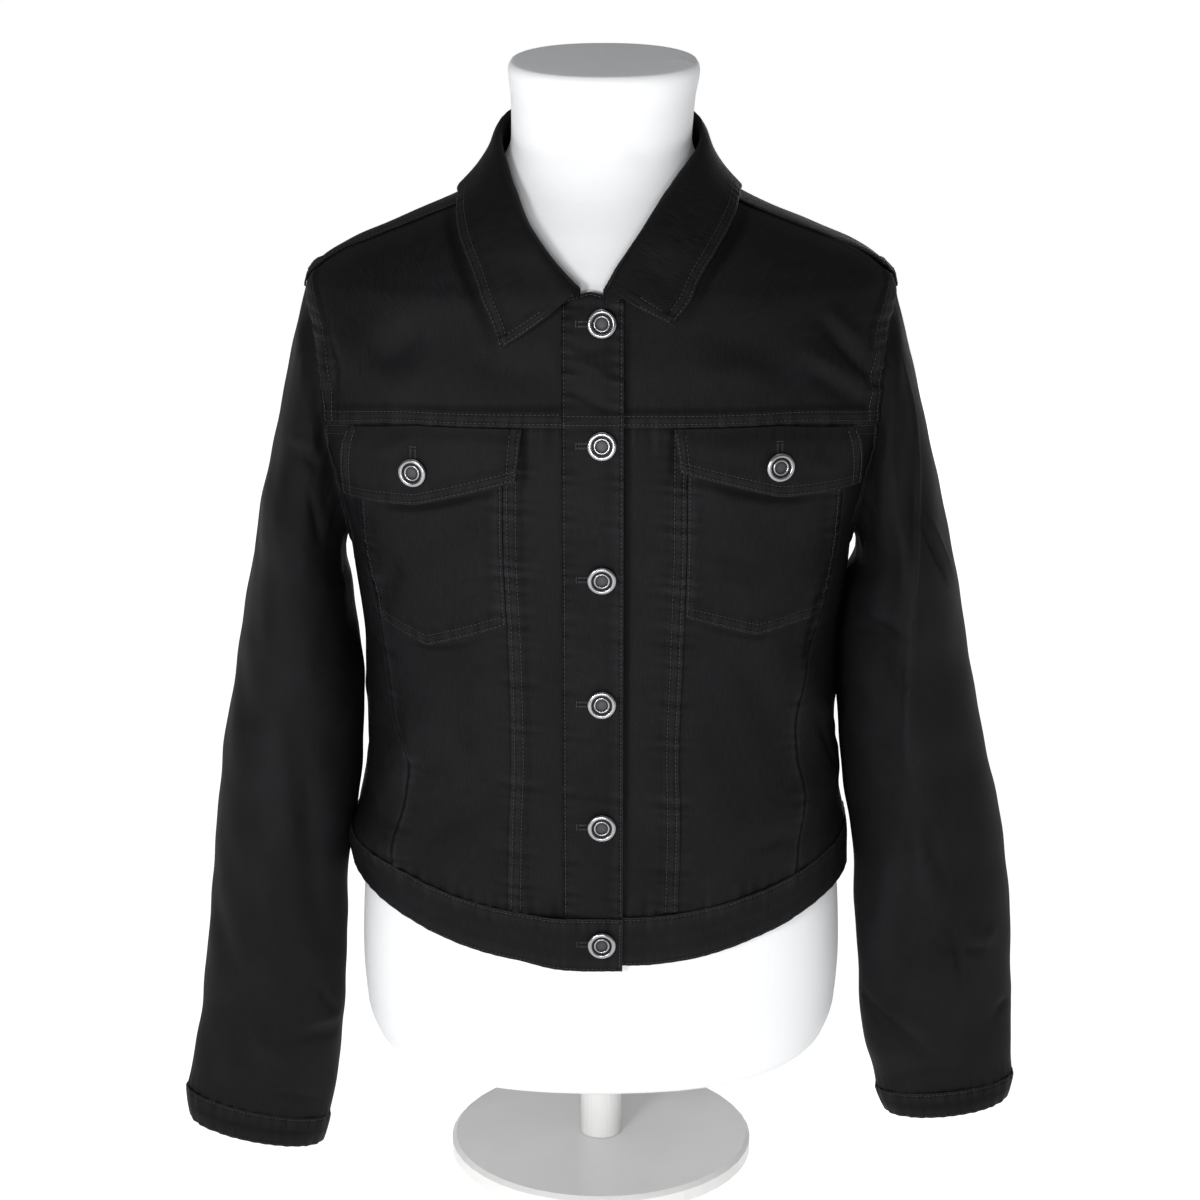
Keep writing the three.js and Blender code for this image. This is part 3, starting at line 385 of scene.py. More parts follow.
def armhole_place(angle, side):
    z = ARMHOLE["z"] + ARMHOLE["up"] * np.cos(np.radians(angle))
    s = np.sin(np.radians(angle))
    y = np.where(s > 0, -ARMHOLE["front"] * s, -ARMHOLE["back"] * s)
    half, front, back, square = np.moveaxis(torso(z), -1, 0)
    depth = np.where(y < 0, front, back)
    x = side * half * (1 - np.abs(y / depth) ** square) ** (1 / square)
    return places(np.degrees(np.arctan2(x, -y)), z)


def height_above(x, y):
    """The place where the surface passes through a point seen from above."""
    turn = np.degrees(np.arctan2(x, -y))
    low, high = np.full(np.shape(turn), 600.0), np.full(np.shape(turn), 790.0)
    for _ in range(22):
        z = (low + high) / 2
        reach = section_point(torso, turn, z)
        outside = np.hypot(reach[..., 0], reach[..., 1]) > np.hypot(x, y)
        low, high = np.where(outside, z, low), np.where(outside, high, z)
    return places(turn, low)


def neck_place(angle):
    c = np.cos(np.radians(angle))
    depth = np.where(c > 0, NECK["front"], NECK["back"])
    return height_above(NECK["half"] * np.sin(np.radians(angle)), -depth * c)


def seam_below(turn):
    """The neck seam's place at a turn round the body."""
    s, c = np.sin(np.radians(turn)), np.cos(np.radians(turn))
    depth = np.where(c > 0, NECK["front"], NECK["back"])
    reach = 1 / np.hypot(s / NECK["half"], c / depth)
    return height_above(reach * s, -reach * c)


SHOULDER_ANGLE = math.degrees(math.acos(-NECK["shoulder_y"] / NECK["front"]))
NECK_X = NECK["half"] * math.sin(math.radians(SHOULDER_ANGLE))


def shoulder_seam(side):
    outer = armhole_place(np.float64(ARMHOLE_STEP), side)
    end = surface(outer[0], outer[1])
    return lambda t: height_above(mix(side * NECK_X, end[0], t), mix(NECK["shoulder_y"], end[1], t))


def hem_place(turn):
    """The waistband's top edge."""
    z = np.full(np.shape(turn), float(HEM["front_z"]))
    for _ in range(12):
        y = section_point(torso, turn, z)[..., 1]
        z = HEM["front_z"] + HEM["rise"] * (1 - np.exp(-np.maximum(y - HEM["front_y"], 0) / HEM["reach"]))
    return places(turn, z)


def down_seam(rows, side, top_z, behind=False):
    """A seam that runs down a panel, from a height to the waistband."""
    distance = Table(rows)
    column = 0 if side < 0 else 1

    def place(z):
        return places(turn_of(side * distance(z)[..., column], z, behind), z)

    hem_z = np.float64(HEM["front_z"] + HEM["rise"])
    for _ in range(12):
        hem_z = hem_place(place(hem_z)[0])[1]
    return lambda t: place(mix(hem_z, top_z, t))


def armhole_reach(angle):
    turn, z = armhole_place(np.float64(angle), 1)
    return section_point(torso, turn, z)[0]


ARMHOLE_FRONT_X = armhole_reach(90)
ARMHOLE_BACK_X = armhole_reach(270)


def yoke_place(x, behind=False):
    """The yoke seam, which dips a little where it meets the armhole."""
    reach = ARMHOLE_BACK_X if behind else ARMHOLE_FRONT_X
    outer = np.clip((np.abs(x) - YOKE_LEVEL_X) / (reach - YOKE_LEVEL_X), 0, 1)
    z = mix(BACK_YOKE_Z if behind else YOKE_SEAM_Z, ARMHOLE["z"], outer**2)
    return places(turn_of(x, z, behind), z)


def between(a, b):
    return lambda t: mix(np.asarray(a), np.asarray(b), np.asarray(t)[..., None])


def reverse(curve):
    return lambda t: curve(1 - np.asarray(t))


def chain(*parts):
    """Joins curves end to end, each with its share of the steps."""
    ends = np.cumsum([steps for _, steps in parts])

    def run(t):
        place = np.asarray(t, float) * ends[-1]
        which = np.clip(np.searchsorted(ends, place, side="left"), 0, len(parts) - 1)
        result = np.empty(place.shape + (2,))
        for k, (curve, steps) in enumerate(parts):
            inside = which == k
            if inside.any():
                result[inside] = curve((place[inside] - (ends[k] - steps)) / steps)
        return result

    return run


def turned(curve, side=1):
    """Counts turns on from the front round one side, so that they pass the back unbroken."""

    def run(t):
        place = curve(t)
        return places(side * ((side * place[..., 0]) % 360), place[..., 1])

    return run


def hem_run(start, end):
    return lambda t: hem_place(mix(start, end, np.asarray(t)))


def yoke_run(start, end, behind=False):
    return lambda t: yoke_place(mix(start, end, np.asarray(t)), behind)


def armhole_run(side, start, end):
    return lambda t: armhole_place(mix(start, end, np.asarray(t)), side)


def neck_run(start, end):
    return lambda t: neck_place(mix(start, end, np.asarray(t)))


def middle_line(x, low, high):
    return lambda t: front_place(x, mix(low, high, np.asarray(t)))


def hem_turn_at(x):
    z = np.float64(HEM["front_z"])
    for _ in range(8):
        z = hem_place(turn_of(x, z))[1]
    return turn_of(x, z)


def front_line(*points):
    """Runs along a broken line of places (x, z, steps) on the front."""

    def leg(a, b):
        return lambda t: front_place(mix(a[0], b[0], t), mix(a[1], b[1], t))

    return chain(*((leg(a, b), b[2]) for a, b in zip(points, points[1:])))


def resampled(points, fractions):
    """Carries rows of points, which run along axis 0, through smooth curves to other fractions."""
    apart = np.linalg.norm(np.diff(points, axis=0), axis=-1)
    keys = np.concatenate([np.zeros((1,) + apart.shape[1:]), np.cumsum(apart, axis=0)])
    steps = np.diff(points, axis=0) / np.maximum(apart, 1e-6)[..., None]
    before, after = apart[:-1, ..., None], apart[1:, ..., None]
    inner = (steps[:-1] * after + steps[1:] * before) / (before + after)
    slopes = np.concatenate([steps[:1], inner, steps[-1:]])
    rows = []
    columns = np.arange(points.shape[1])
    for fraction in fractions:
        where = fraction * keys[-1]
        index = np.clip((keys <= where).sum(axis=0) - 1, 0, len(points) - 2)
        span = keys[index + 1, columns] - keys[index, columns]
        t = ((where - keys[index, columns]) / np.maximum(span, 1e-6))[:, None]
        low, high = points[index, columns], points[index + 1, columns]
        start = slopes[index, columns] * span[:, None]
        end = slopes[index + 1, columns] * span[:, None]
        rise = high - low
        rows.append(low + start * t + (3 * rise - 2 * start - end) * t * t + (start + end - 2 * rise) * t**3)
    return np.array(rows)


# Cloth

SEAM_ROWS = (1.7, 7.4)  # a seam's two rows of stitches, from its edge
OVER_LINES = (-0.8, 0, 0.9, 1.7, 2.6, 4.5, 6.5, 7.4, 8.3, 9.6, 11.5)
FREE_LINES = (0, 0.5, 1.0, 1.7, 2.6, 4.5, 6.5, 7.4, 8.3, 10.5)
UNDER_LINES = (-3, 0)
LAP_LINES = (-0.4, 0, 0.5, 1.1, 2.0, 3.4, 5.2)
TUCK_LINES = (-3, -1, 0, 0.8, 1.7, 3.0, 4.6)
PLAIN_LINES = (0,)
# An edge is stitched over its neighbour, free or flush, runs under it, or meets it in a plain seam
EDGE_LINES = {
    "over": OVER_LINES, "free": FREE_LINES, "flush": FREE_LINES, "under": UNDER_LINES,
    "lap": LAP_LINES, "tuck": TUCK_LINES, "plain": PLAIN_LINES,
}
SEAM_RISE = 1.15  # a seam's edge lies this far over the piece beside it
EDGES = ("start", "end", "bottom", "top")
STITCHED = ("over", "free", "flush")
ONE_ROW = {edge: SEAM_ROWS[:1] for edge in EDGES}
BOTH_ROWS = {edge: SEAM_ROWS for edge in EDGES}


def spread(lengths, low, high, step, mean=None):
    """Places from 0 to 1 across each length: the lines that its ends need, and even steps between."""
    lengths = np.asarray(lengths, float)[:, None]
    mean = lengths.mean() if mean is None else mean
    count = max(1, round(float(mean - low[-1] - high[-1]) / step))
    inner = np.arange(1, count) / count
    first, last = np.array(low), np.array(high)[::-1]
    middle = mix(low[-1], lengths - high[-1], inner[None, :])
    rows = np.ones_like(lengths)
    return np.hstack([first * rows, middle, lengths - last * rows]) / lengths


def run_length(points, axis):
    apart = np.linalg.norm(np.diff(points, axis=axis), axis=-1)
    return apart.sum(axis=axis)


def patch(bottom, top, start, end, kinds, step):
    """A grid of places between four edges, with finer lines beside stitched edges.
    It returns the places and each one's distance from the four edges."""
    corners = {
        "low": (bottom(np.float64(0)), bottom(np.float64(1))),
        "high": (top(np.float64(0)), top(np.float64(1))),
    }

    def blend(u, v):
        u3, v3 = u[..., None], v[..., None]
        sides = (1 - v3) * bottom(u) + v3 * top(u) + (1 - u3) * start(v) + u3 * end(v)
        low = (1 - u3) * corners["low"][0] + u3 * corners["low"][1]
        high = (1 - u3) * corners["high"][0] + u3 * corners["high"][1]
        return sides - (1 - v3) * low - v3 * high

    rough = np.linspace(0, 1, 17)
    u, v = np.meshgrid(rough, rough)
    coarse = blend(u, v)
    solid = surface(coarse[..., 0], coarse[..., 1])
    width, height = run_length(solid, 1), run_length(solid, 0)
    lines = [EDGE_LINES[kind] for kind in kinds]
    step_u, step_v = step
    v0 = spread([height.mean()], lines[2], lines[3], step_v)[0]
    u0 = spread([width.mean()], lines[0], lines[1], step_u)[0]
    widths = np.interp(v0, rough, width)
    heights = np.interp(u0, rough, height)
    u = spread(widths, lines[0], lines[1], step_u, width.mean())
    v = spread(heights, lines[2], lines[3], step_v, height.mean()).T
    apart = (u * widths[:, None], (1 - u) * widths[:, None], v * heights, (1 - v) * heights)
    return blend(u, v), dict(zip(EDGES, apart)), (float(width.max()), float(height.max()))


def ripple(where, seed, pitch):
    """Uneven small waves along a seam, between -1 and 1."""
    draw = np.random.default_rng(seed)
    knots = np.arange(-620, 900, pitch / 2)
    knots = knots + draw.uniform(-0.2, 0.2, len(knots)) * pitch
    heights = draw.uniform(0.15, 1, len(knots)) ** 1.4 * np.where(np.arange(len(knots)) % 2, 1, -1)
    index = np.clip(np.searchsorted(knots, where) - 1, 0, len(knots) - 2)
    t = smooth_step(0, 1, (where - knots[index]) / (knots[index + 1] - knots[index]))
    return mix(heights[index], heights[index + 1], t)


def unevenness(points, seed, height):
    """The slight unevenness of cloth that has been worn."""
    draw = np.random.default_rng(seed)
    total = np.zeros(points.shape[:-1])
    for _ in range(9):
        heading = unit(draw.normal(size=3))
        wave = draw.uniform(28, 75)
        total += np.sin(points @ heading * 2 * math.pi / wave + draw.uniform(0, 6.3))
    return total * height / 4


def smooth_run(points, count):
    points = np.asarray(points, float)
    if len(points) == 2:
        return mix(points[0], points[1], np.linspace(0, 1, count)[:, None])
    return resampled(points[:, None], np.linspace(0, 1, count))[:, 0]


def crease_rise(points, creases):
    """How far listed creases stand out: each is a run of points, a width and a rise."""
    total = np.zeros(points.shape[:-1])
    flat = points.reshape(-1, 3)
    for run, wide, rise in creases:
        line = smooth_run(run, 4 * len(run))
        near = np.full(len(flat), 1e9)
        along = np.zeros(len(flat))
        for k, (a, b) in enumerate(zip(line, line[1:])):
            ahead = b - a
            t = np.clip((flat - a) @ ahead / (ahead @ ahead), 0, 1)
            apart = np.linalg.norm(flat - a - t[:, None] * ahead, axis=1)
            closer = apart < near
            near = np.where(closer, apart, near)
            along = np.where(closer, (k + t) / (len(line) - 1), along)
        taper = np.sin(np.clip(along, 0.02, 0.98) * math.pi) ** 0.7
        total += (rise * taper * hump(near, wide)).reshape(total.shape)
    return total


def grid_normals(points):
    across = np.gradient(points, axis=1)
    along = np.gradient(points, axis=0)
    return unit(np.cross(across, along))


def closed_normals(points):
    """Normals of a grid whose last column lies on its first."""
    normal = grid_normals(points)
    normal[:, 0] = normal[:, -1] = unit(normal[:, 0] + normal[:, -1])
    return normal


def deselect():
    for obj in bpy.context.selected_objects:
        obj.select_set(False)


def grid_object(name, points, uv):
    """A grid primitive whose vertices are moved to the rows of points, in millimetres."""
    rows, columns = points.shape[:2]
    deselect()
    bpy.ops.mesh.primitive_grid_add(x_subdivisions=columns - 1, y_subdivisions=rows - 1, size=1)
    obj = bpy.context.object
    obj.name = name
    mesh = obj.data
    mesh.vertices.foreach_set("co", (points.reshape(-1, 3) * MM).ravel())
    corner = np.empty(len(mesh.loops), int)
    mesh.loops.foreach_get("vertex_index", corner)
    mesh.uv_layers.active.data.foreach_set("uv", (uv.reshape(-1, 2)[corner] * MM).ravel())
    mesh.update()
    return obj


def add_attribute(obj, name, values):
    layer = obj.data.attributes.new(name, "FLOAT", "POINT")
    layer.data.foreach_set("value", np.asarray(values, float).ravel())


def edit(obj, *steps):
    """Runs edit mode steps on everything in one object."""
    deselect()
    obj.select_set(True)
    bpy.context.view_layer.objects.active = obj
    bpy.ops.object.mode_set(mode="EDIT")
    bpy.ops.mesh.select_all(action="SELECT")
    for step in steps:
        step()
    bpy.ops.object.mode_set(mode="OBJECT")


def apply_modifier(obj, kind, **values):
    deselect()
    obj.select_set(True)
    bpy.context.view_layer.objects.active = obj
    bpy.ops.object.modifier_add(type=kind)
    modifier = obj.modifiers[-1]
    for name, value in values.items():
        setattr(modifier, name, value)
    bpy.ops.object.modifier_apply(modifier=modifier.name)


def smooth_shade(obj, angle):
    deselect()
    obj.select_set(True)
    bpy.context.view_layer.objects.active = obj
    bpy.ops.object.shade_smooth_by_angle(angle=math.radians(angle))


def finish_piece(obj, material, slot, *nodes):
    obj.data.materials.clear()
    obj.data.materials.append(material)
    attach(obj, "root")
    if nodes:
        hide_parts(*nodes)


class Cloth:
    """One piece of denim: its grid of points and how far each is from the edges."""

    def __init__(self, name, points, apart, size):
        self.name, self.points, self.apart, self.size = name, points, apart, size
        self.normals = grid_normals(points)
        self.seams = []

    def line(self, edge, inset, trim=(0.5, 0.5)):
        """Points and normals of a line along one edge, that far inside it."""
        apart = self.apart[edge]
        sideways = edge in ("start", "end")
        ends = ("bottom", "top") if sideways else ("start", "end")
        found, facing = [], []
        for k in range(apart.shape[0 if sideways else 1]):
            pick = (k, slice(None)) if sideways else (slice(None), k)
            order = np.argsort(apart[pick])
            distance = apart[pick][order]
            low, high = (np.interp(inset, distance, self.apart[end][pick][order]) for end in ends)
            if low < trim[0] - TINY or high < trim[1] - TINY:
                continue
            where = [np.interp(inset, distance, self.points[pick][order][:, axis]) for axis in range(3)]
            out = [np.interp(inset, distance, self.normals[pick][order][:, axis]) for axis in range(3)]
            found.append(where)
            facing.append(out)
        return np.array(found), unit(np.array(facing))

    def sew(self, edge, inset, trim=(0.5, 0.5)):
        self.seams.append(self.line(edge, inset, trim))

    def sew_level(self, z):
        """A row of stitches straight across the piece at one height."""
        line = [[np.interp(z, column[:, 2], column[:, axis]) for axis in range(3)]
                for column in np.moveaxis(self.points, 1, 0)]
        facing = [[np.interp(z, column[:, 2], out[:, axis]) for axis in range(3)]
                  for column, out in zip(np.moveaxis(self.points, 1, 0), np.moveaxis(self.normals, 1, 0))]
        self.seams.append((np.array(line), unit(np.array(facing))))


def stitch_template():
    """One stitch, modelled once: a short round thread with closed ends, 1 long, wide and high."""
    deselect()
    bpy.ops.mesh.primitive_uv_sphere_add(segments=6, ring_count=4, radius=0.5)
    obj = bpy.context.object
    edit(obj, lambda: bpy.ops.transform.rotate(
        value=math.pi / 2, orient_axis="Y", center_override=(0, 0, 0)))
    points = np.empty(len(obj.data.vertices) * 3)
    obj.data.vertices.foreach_get("co", points)
    points = points.reshape(-1, 3)
    flat = np.abs(points[:, 0]) < 0.4
    points[flat, 0] *= 1.15
    faces = [tuple(face.vertices) for face in obj.data.polygons]
    bpy.data.objects.remove(obj)
    return points, faces


def copies(name, template, centres, ahead, out, size):
    """Copies of a small modelled shape, each set along its own direction, joined as one mesh."""
    points, faces = template
    ahead = unit(ahead)
    side = unit(np.cross(out, ahead))
    up = np.cross(ahead, side)
    length, width, height = size
    placed = (
        centres[:, None]
        + ahead[:, None] * (points[:, 0] * length)[None, :, None]
        + side[:, None] * (points[:, 1] * width)[None, :, None]
        + up[:, None] * (points[:, 2] * height)[None, :, None]
    )
    mesh = bpy.data.meshes.new(name)
    count = len(points)
    every = [tuple(v + k * count for v in face) for k in range(len(centres)) for face in faces]
    mesh.from_pydata((placed.reshape(-1, 3) * MM).tolist(), [], every)
    mesh.update()
    obj = bpy.data.objects.new(name, mesh)
    bpy.context.collection.objects.link(obj)
    return obj


def stitch_places(line, facing, pitch):
    """Even places along a line: centres, directions and normals of its stitches."""
    keys = keys_along(line)
    where = np.arange(pitch * 0.6, keys[-1] - pitch * 0.4, pitch)

    def at(values, place):
        return np.stack([np.interp(place, keys, values[:, axis]) for axis in range(3)], axis=1)

    ahead = at(line, where + pitch * 0.4) - at(line, where - pitch * 0.4)
    return at(line, where), ahead, unit(at(facing, where))


# Listed creases
# Each is a run of places, how wide it is and how far it stands out (or in), in millimetres.


def on_front(*run):
    """Places (x, z) on the front, as points."""
    x, z = np.array(run, float).T
    return surface(turn_of(x, z), z)


def on_cap(*run):
    """Places (turn, share of the way out) on the form's flat top, as points."""
    turn, share = np.array(run, float).T
    rim = section_point(form_sections, turn, FORM[-1][0])
    return rim * np.stack([share, share, 0 * share + 1], axis=-1)


def round_body(*run):
    """Places (turn, z) round the body, as points."""
    turn, z = np.array(run, float).T
    return surface(turn, z)


def on_form(*run):
    """Places (turn, z) on the dress form, as points."""
    turn, z = np.array(run, float).T
    return section_point(form_sections, turn, z)


FRONT_CREASES = {
    "right": (
        (on_front((-110, 458), (-88, 466), (-66, 469)), 3.2, -1.89),
        (on_front((-111, 464), (-88, 473), (-65, 477)), 4, 1.59),
        (on_front((-101, 449), (-81, 456), (-65, 460)), 3.2, -1.59),
        (on_front((-134, 480), (-143, 460), (-148, 442)), 10, -2.9),
        (on_front((-107, 502), (-83, 502), (-64, 498)), 5, -1.16),
        (on_front((-123, 438), (-102, 436), (-81, 446)), 5, 1.16),
        (on_front((-61, 324), (-90, 301), (-118, 278), (-134, 252)), 12, -3.48),
        (on_front((-69, 355), (-103, 326), (-130, 302)), 12, 2.32),
        (on_front((-161, 326), (-146, 342), (-132, 351)), 3.5, -1.59),
        (on_front((-135, 373), (-130, 350), (-124, 324)), 5, 1.74),
        (on_front((-99, 380), (-94, 352), (-90, 317)), 9, -1.74),
        (on_front((-68, 426), (-82, 390), (-86, 360)), 9, 1.45),
        (on_front((-118, 254), (-90, 266), (-66, 262)), 7, 1.3),
    ),
    "left": (
        (on_front((59, 484), (86, 486), (110, 476)), 5, -1.45),
        (on_front((56, 463), (80, 468), (104, 458)), 5, 1.3),
        (on_front((133, 507), (113, 480), (101, 452)), 10, -2.03),
        (on_front((153, 472), (143, 448), (136, 417), (132, 382)), 5, 2.32),
        (on_front((60, 448), (81, 442), (100, 442)), 6, -1.16),
        (on_front((105, 272), (121, 274), (133, 278)), 4, -1.3),
        (on_front((94, 424), (111, 378), (123, 326)), 12, -2.03),
        (on_front((76, 311), (67, 355), (70, 390)), 11, 1.45),
        (on_front((59, 546), (86, 522), (119, 523)), 7, 1.16),
    ),
}
SIDE_CREASES = {
    "right": (
        (on_front((-168, 536), (-168, 513), (-165, 490)), 4, -1.4),
        (on_front((-161, 316), (-154, 302), (-151, 282)), 5, 1.3),
        (on_front((-162, 338), (-149, 346), (-140, 337)), 5, -1.6),
        (round_body((-112, 330), (-98, 352), (-84, 362)), 9, 1.6),
        (round_body((-98, 300), (-94, 345), (-92, 410)), 16, 2.6),
        (round_body((-108, 300), (-94, 318), (-80, 322)), 7, -1.2),
    ),
    "left": (
        (on_front((141, 366), (153, 341), (168, 287)), 4, -2.0),
        (on_front((147, 371), (162, 338), (169, 308)), 5, 1.6),
        (on_front((173, 478), (170, 450), (165, 416)), 5, -1.8),
        (round_body((112, 340), (98, 356), (84, 352)), 9, 1.6),
        (round_body((98, 300), (94, 375), (90, 470)), 17, 3.2),
        (round_body((106, 300), (92, 322), (78, 330)), 7, -1.2),
    ),
}
YOKE_CREASES = {
    "right": (
        (on_front((-190, 648), (-171, 624), (-146, 601), (-119, 592)), 15, 4.08),
        (on_front((-116, 638), (-136, 620), (-152, 610)), 13, -3.06),
        (on_front((-180, 625), (-177, 606), (-179, 582)), 4, -2.72),
        (on_front((-187, 620), (-184, 602), (-184, 581)), 5, 2.04),
        (on_front((-86, 624), (-53, 610), (-30, 614)), 13, -2.04),
    ),
    "left": (
        (on_front((142, 643), (161, 620), (177, 601), (184, 592)), 4.5, -4.08),
        (on_front((150, 646), (170, 626), (186, 604)), 5, 3.4),
        (on_front((130, 624), (158, 606), (184, 584)), 7, 2.89),
        (on_front((136, 610), (158, 594), (181, 576)), 6, -2.55),
        (on_front((65, 636), (105, 622), (131, 602)), 16, -2.04),
        (on_front((58, 605), (91, 610), (124, 595)), 9, 1.53),
    ),
}
FLAP_CREASES = {
    "right": (
        (on_front((-152, 552), (-134, 559), (-126, 564)), 4, 1.26),
        (on_front((-113, 544), (-87, 546), (-63, 552)), 6, -0.98),
        (on_front((-162, 530), (-144, 528), (-128, 528)), 4, -0.98),
    ),
    "left": (
        (on_front((59, 553), (78, 558), (105, 558)), 5, 1.12),
        (on_front((66, 537), (92, 534), (109, 535)), 5, -0.98),
        (on_front((132, 553), (146, 544), (164, 538)), 4, 0.98),
    ),
}
PLACKET_CREASES = (
    (on_front((-60, 580), (-6, 580), (50, 580)), 3.6, 0.9),
    (on_front((-60, 574.6), (-6, 574.6), (50, 574.6)), 0.9, -0.7),
    (on_front((-23, 600), (-9, 593), (7, 586)), 3, -1.2),
    (on_front((-20, 618), (-6, 613), (9, 606)), 3.5, 1.0),
    (on_front((-21, 628), (-7, 624), (7, 628)), 3.5, -0.8),
    (on_front((-23, 547), (-7, 542), (10, 546)), 3.5, -0.9),
    (on_front((-24, 518), (-6, 513), (11, 518)), 4, 0.9),
    (on_front((-23, 499), (-7, 495), (9, 488)), 3.2, -1.0),
    (on_front((-22, 452), (-4, 448), (12, 454)), 3.5, -0.9),
    (on_front((-24, 428), (-8, 432), (10, 426)), 4, 0.9),
    (on_front((-25, 408), (-7, 404), (10, 408)), 3.2, -0.8),
    (on_front((-24, 360), (-8, 356), (11, 360)), 3.5, -1.0),
    (on_front((-24, 337), (-5, 342), (12, 336)), 4, 0.8),
    (on_front((-23, 315), (-8, 312), (9, 316)), 3.2, -0.8),
    (on_front((-24, 269), (-6, 265), (12, 271)), 3.5, -1.0),
    (on_front((-24, 246), (-6, 251), (12, 244)), 3.5, 0.8),
)
BACK_CREASES = (
    (round_body((150, 300), (162, 350), (168, 420)), 14, -2.2),
    (round_body((-148, 310), (-160, 365), (-165, 430)), 15, 2.0),
    (round_body((134, 360), (146, 392), (160, 404)), 9, 1.6),
    (round_body((-132, 372), (-146, 400), (-158, 408)), 9, -1.5),
    (round_body((176, 300), (180, 360), (184, 440)), 16, 1.4),
    (round_body((140, 470), (155, 505), (172, 520)), 12, -1.3),
    (round_body((-140, 480), (-154, 512), (-170, 520)), 12, 1.2),
    (round_body((150, 262), (164, 272), (178, 266)), 6, 1.1),
    (round_body((-150, 268), (-166, 276), (-178, 264)), 6, -1.1),
)
BACK_YOKE_CREASES = (
    (round_body((128, 600), (138, 622), (150, 634)), 9, -1.6),
    (round_body((-128, 602), (-138, 626), (-152, 636)), 9, 1.5),
    (round_body((150, 640), (166, 662), (180, 668)), 13, 1.2),
    (round_body((-160, 600), (-176, 606), (-190, 600)), 11, -1.0),
    (round_body((118, 590), (124, 606), (134, 612)), 6, 1.2),
)
COLLAR_CREASES = (
    (on_front((-59, 712), (-51, 707), (-45, 703)), 3, -0.7),
    (on_front((-64, 708), (-57, 702), (-52, 696)), 3.5, 0.6),
    (on_front((36, 702), (42, 692), (44, 682)), 6, 0.6),
    (on_front((-80, 688), (-66, 678), (-58, 664)), 8, 0.6),
)
SLEEVE_CREASES = {
    "right": (
        (((1.89, 62), (1.38, 85), (0.91, 102)), 3.6, -2.25),
        (((1.91, 52), (1.3, 80), (0.88, 98)), 4.5, 1.5),
        (((1.77, 90), (1.87, 108), (2.37, 120)), 5, -2.75),
        (((5.16, 88), (6.21, 108), (7.3, 125), (8.23, 140)), 9, -2.75),
        (((4.56, 58), (5.83, 78), (7.08, 95)), 14, 2),
        (((8.22, 128), (8.41, 140), (8.59, 158)), 3.5, -2.25),
        (((8.72, 112), (8.63, 130), (8.63, 160)), 4, 1.75),
        (((8.86, 108), (8.81, 125), (8.79, 160)), 3.2, -1.75),
        (((9.7, 92), (9.65, 120), (9.72, 155)), 3.0, -1.5),
        (((8.87, 68), (9.05, 88), (9.14, 118)), 8, 1.5),
        (((7.61, 22), (8.11, 55), (8.76, 68)), 10, -1.5),
        (((3.47, 65), (4.3, 68), (5, 65)), 8, -1.5),
    ),
    "left": (
        (((0.94, 40), (1.63, 40), (2.11, 48), (2.65, 62), (3.5, 82), (4.56, 90), (5.4, 95),
          (6.22, 100)), 2.4, 2.5),
        (((2.83, 68), (3.29, 58), (3.91, 42)), 3.2, -3),
        (((2.94, 55), (3.47, 40), (3.98, 22)), 4, 1.75),
        (((4.39, 140), (4.38, 110), (4.48, 90)), 3.6, -2.75),
        (((4.19, 135), (4.2, 110), (4.31, 90)), 4.5, 2.12),
        (((6.39, 90), (6.98, 88), (7.36, 80)), 5, -2.75),
        (((6.54, 100), (7.11, 100), (7.52, 92)), 6, 1.88),
        (((7.72, 85), (8, 78), (8.56, 75)), 3.2, -2.75),
        (((8, 78), (8.12, 65), (8.16, 52)), 3.0, -2.12),
        (((7.87, 98), (7.99, 88), (8.09, 78)), 3.2, -1.75),
        (((7.88, 70), (8.04, 55), (8.02, 38)), 6, 1.62),
        (((8.57, 165), (8.88, 132), (9.19, 110), (9.47, 95)), 3.8, -3),
        (((8.67, 130), (8.89, 112), (9.12, 98)), 4.5, 2.5),
        (((8.89, 130), (8.19, 115), (7.44, 100)), 8, -2.75),
        (((8.15, 138), (7.45, 130), (6.88, 122)), 10, 2.25),
        (((9.12, 48), (8.96, 35), (9.02, -20)), 3.5, -1.75),
        (((9.8, 155), (9.57, 100), (9.65, 55)), 3.2, -1.5),
        (((1.02, 85), (1.56, 108), (2.88, 125)), 9, 1.75),
    ),
}


def edge_shades(side):
    """Lines just outside a flap, a pocket and the collar, where the edge above keeps the light
    from the cloth: each a run, a width and a depth."""
    name = "right" if side < 0 else "left"
    inner_x, outer_x, inner_z, point_x, point_z, outer_z = FLAP[name]
    tip_x, tip_z, end_z = POCKET[name]
    collar = [(row[3], row[4]) for row in (COLLAR[:7] if side < 0 else COLLAR[:-8:-1])]
    out = 4 if side > 0 else -4
    return (
        (on_front((side * inner_x, inner_z - 2), (side * point_x, point_z - 2.5),
                  (side * outer_x, outer_z - 2)), 2.6, -1.3),
        (on_front((side * (inner_x - 1.5), inner_z - 4), (side * (inner_x - 1.5), 580)), 1.8, -1.2),
        (on_front((side * 55, end_z - 2), (side * tip_x, tip_z - 2), (side * 160, end_z - 8)), 1.5, -0.7),
        (round_body(*((turn + out / 3, z - 3) for turn, z in collar)), 3.5, -0.9),
    )


PLACKET_SHADE = (on_front(*((PLACKET_OUTER_X + 1.6, z) for z in range(200, 700, 60))), 2.2, -1.4)

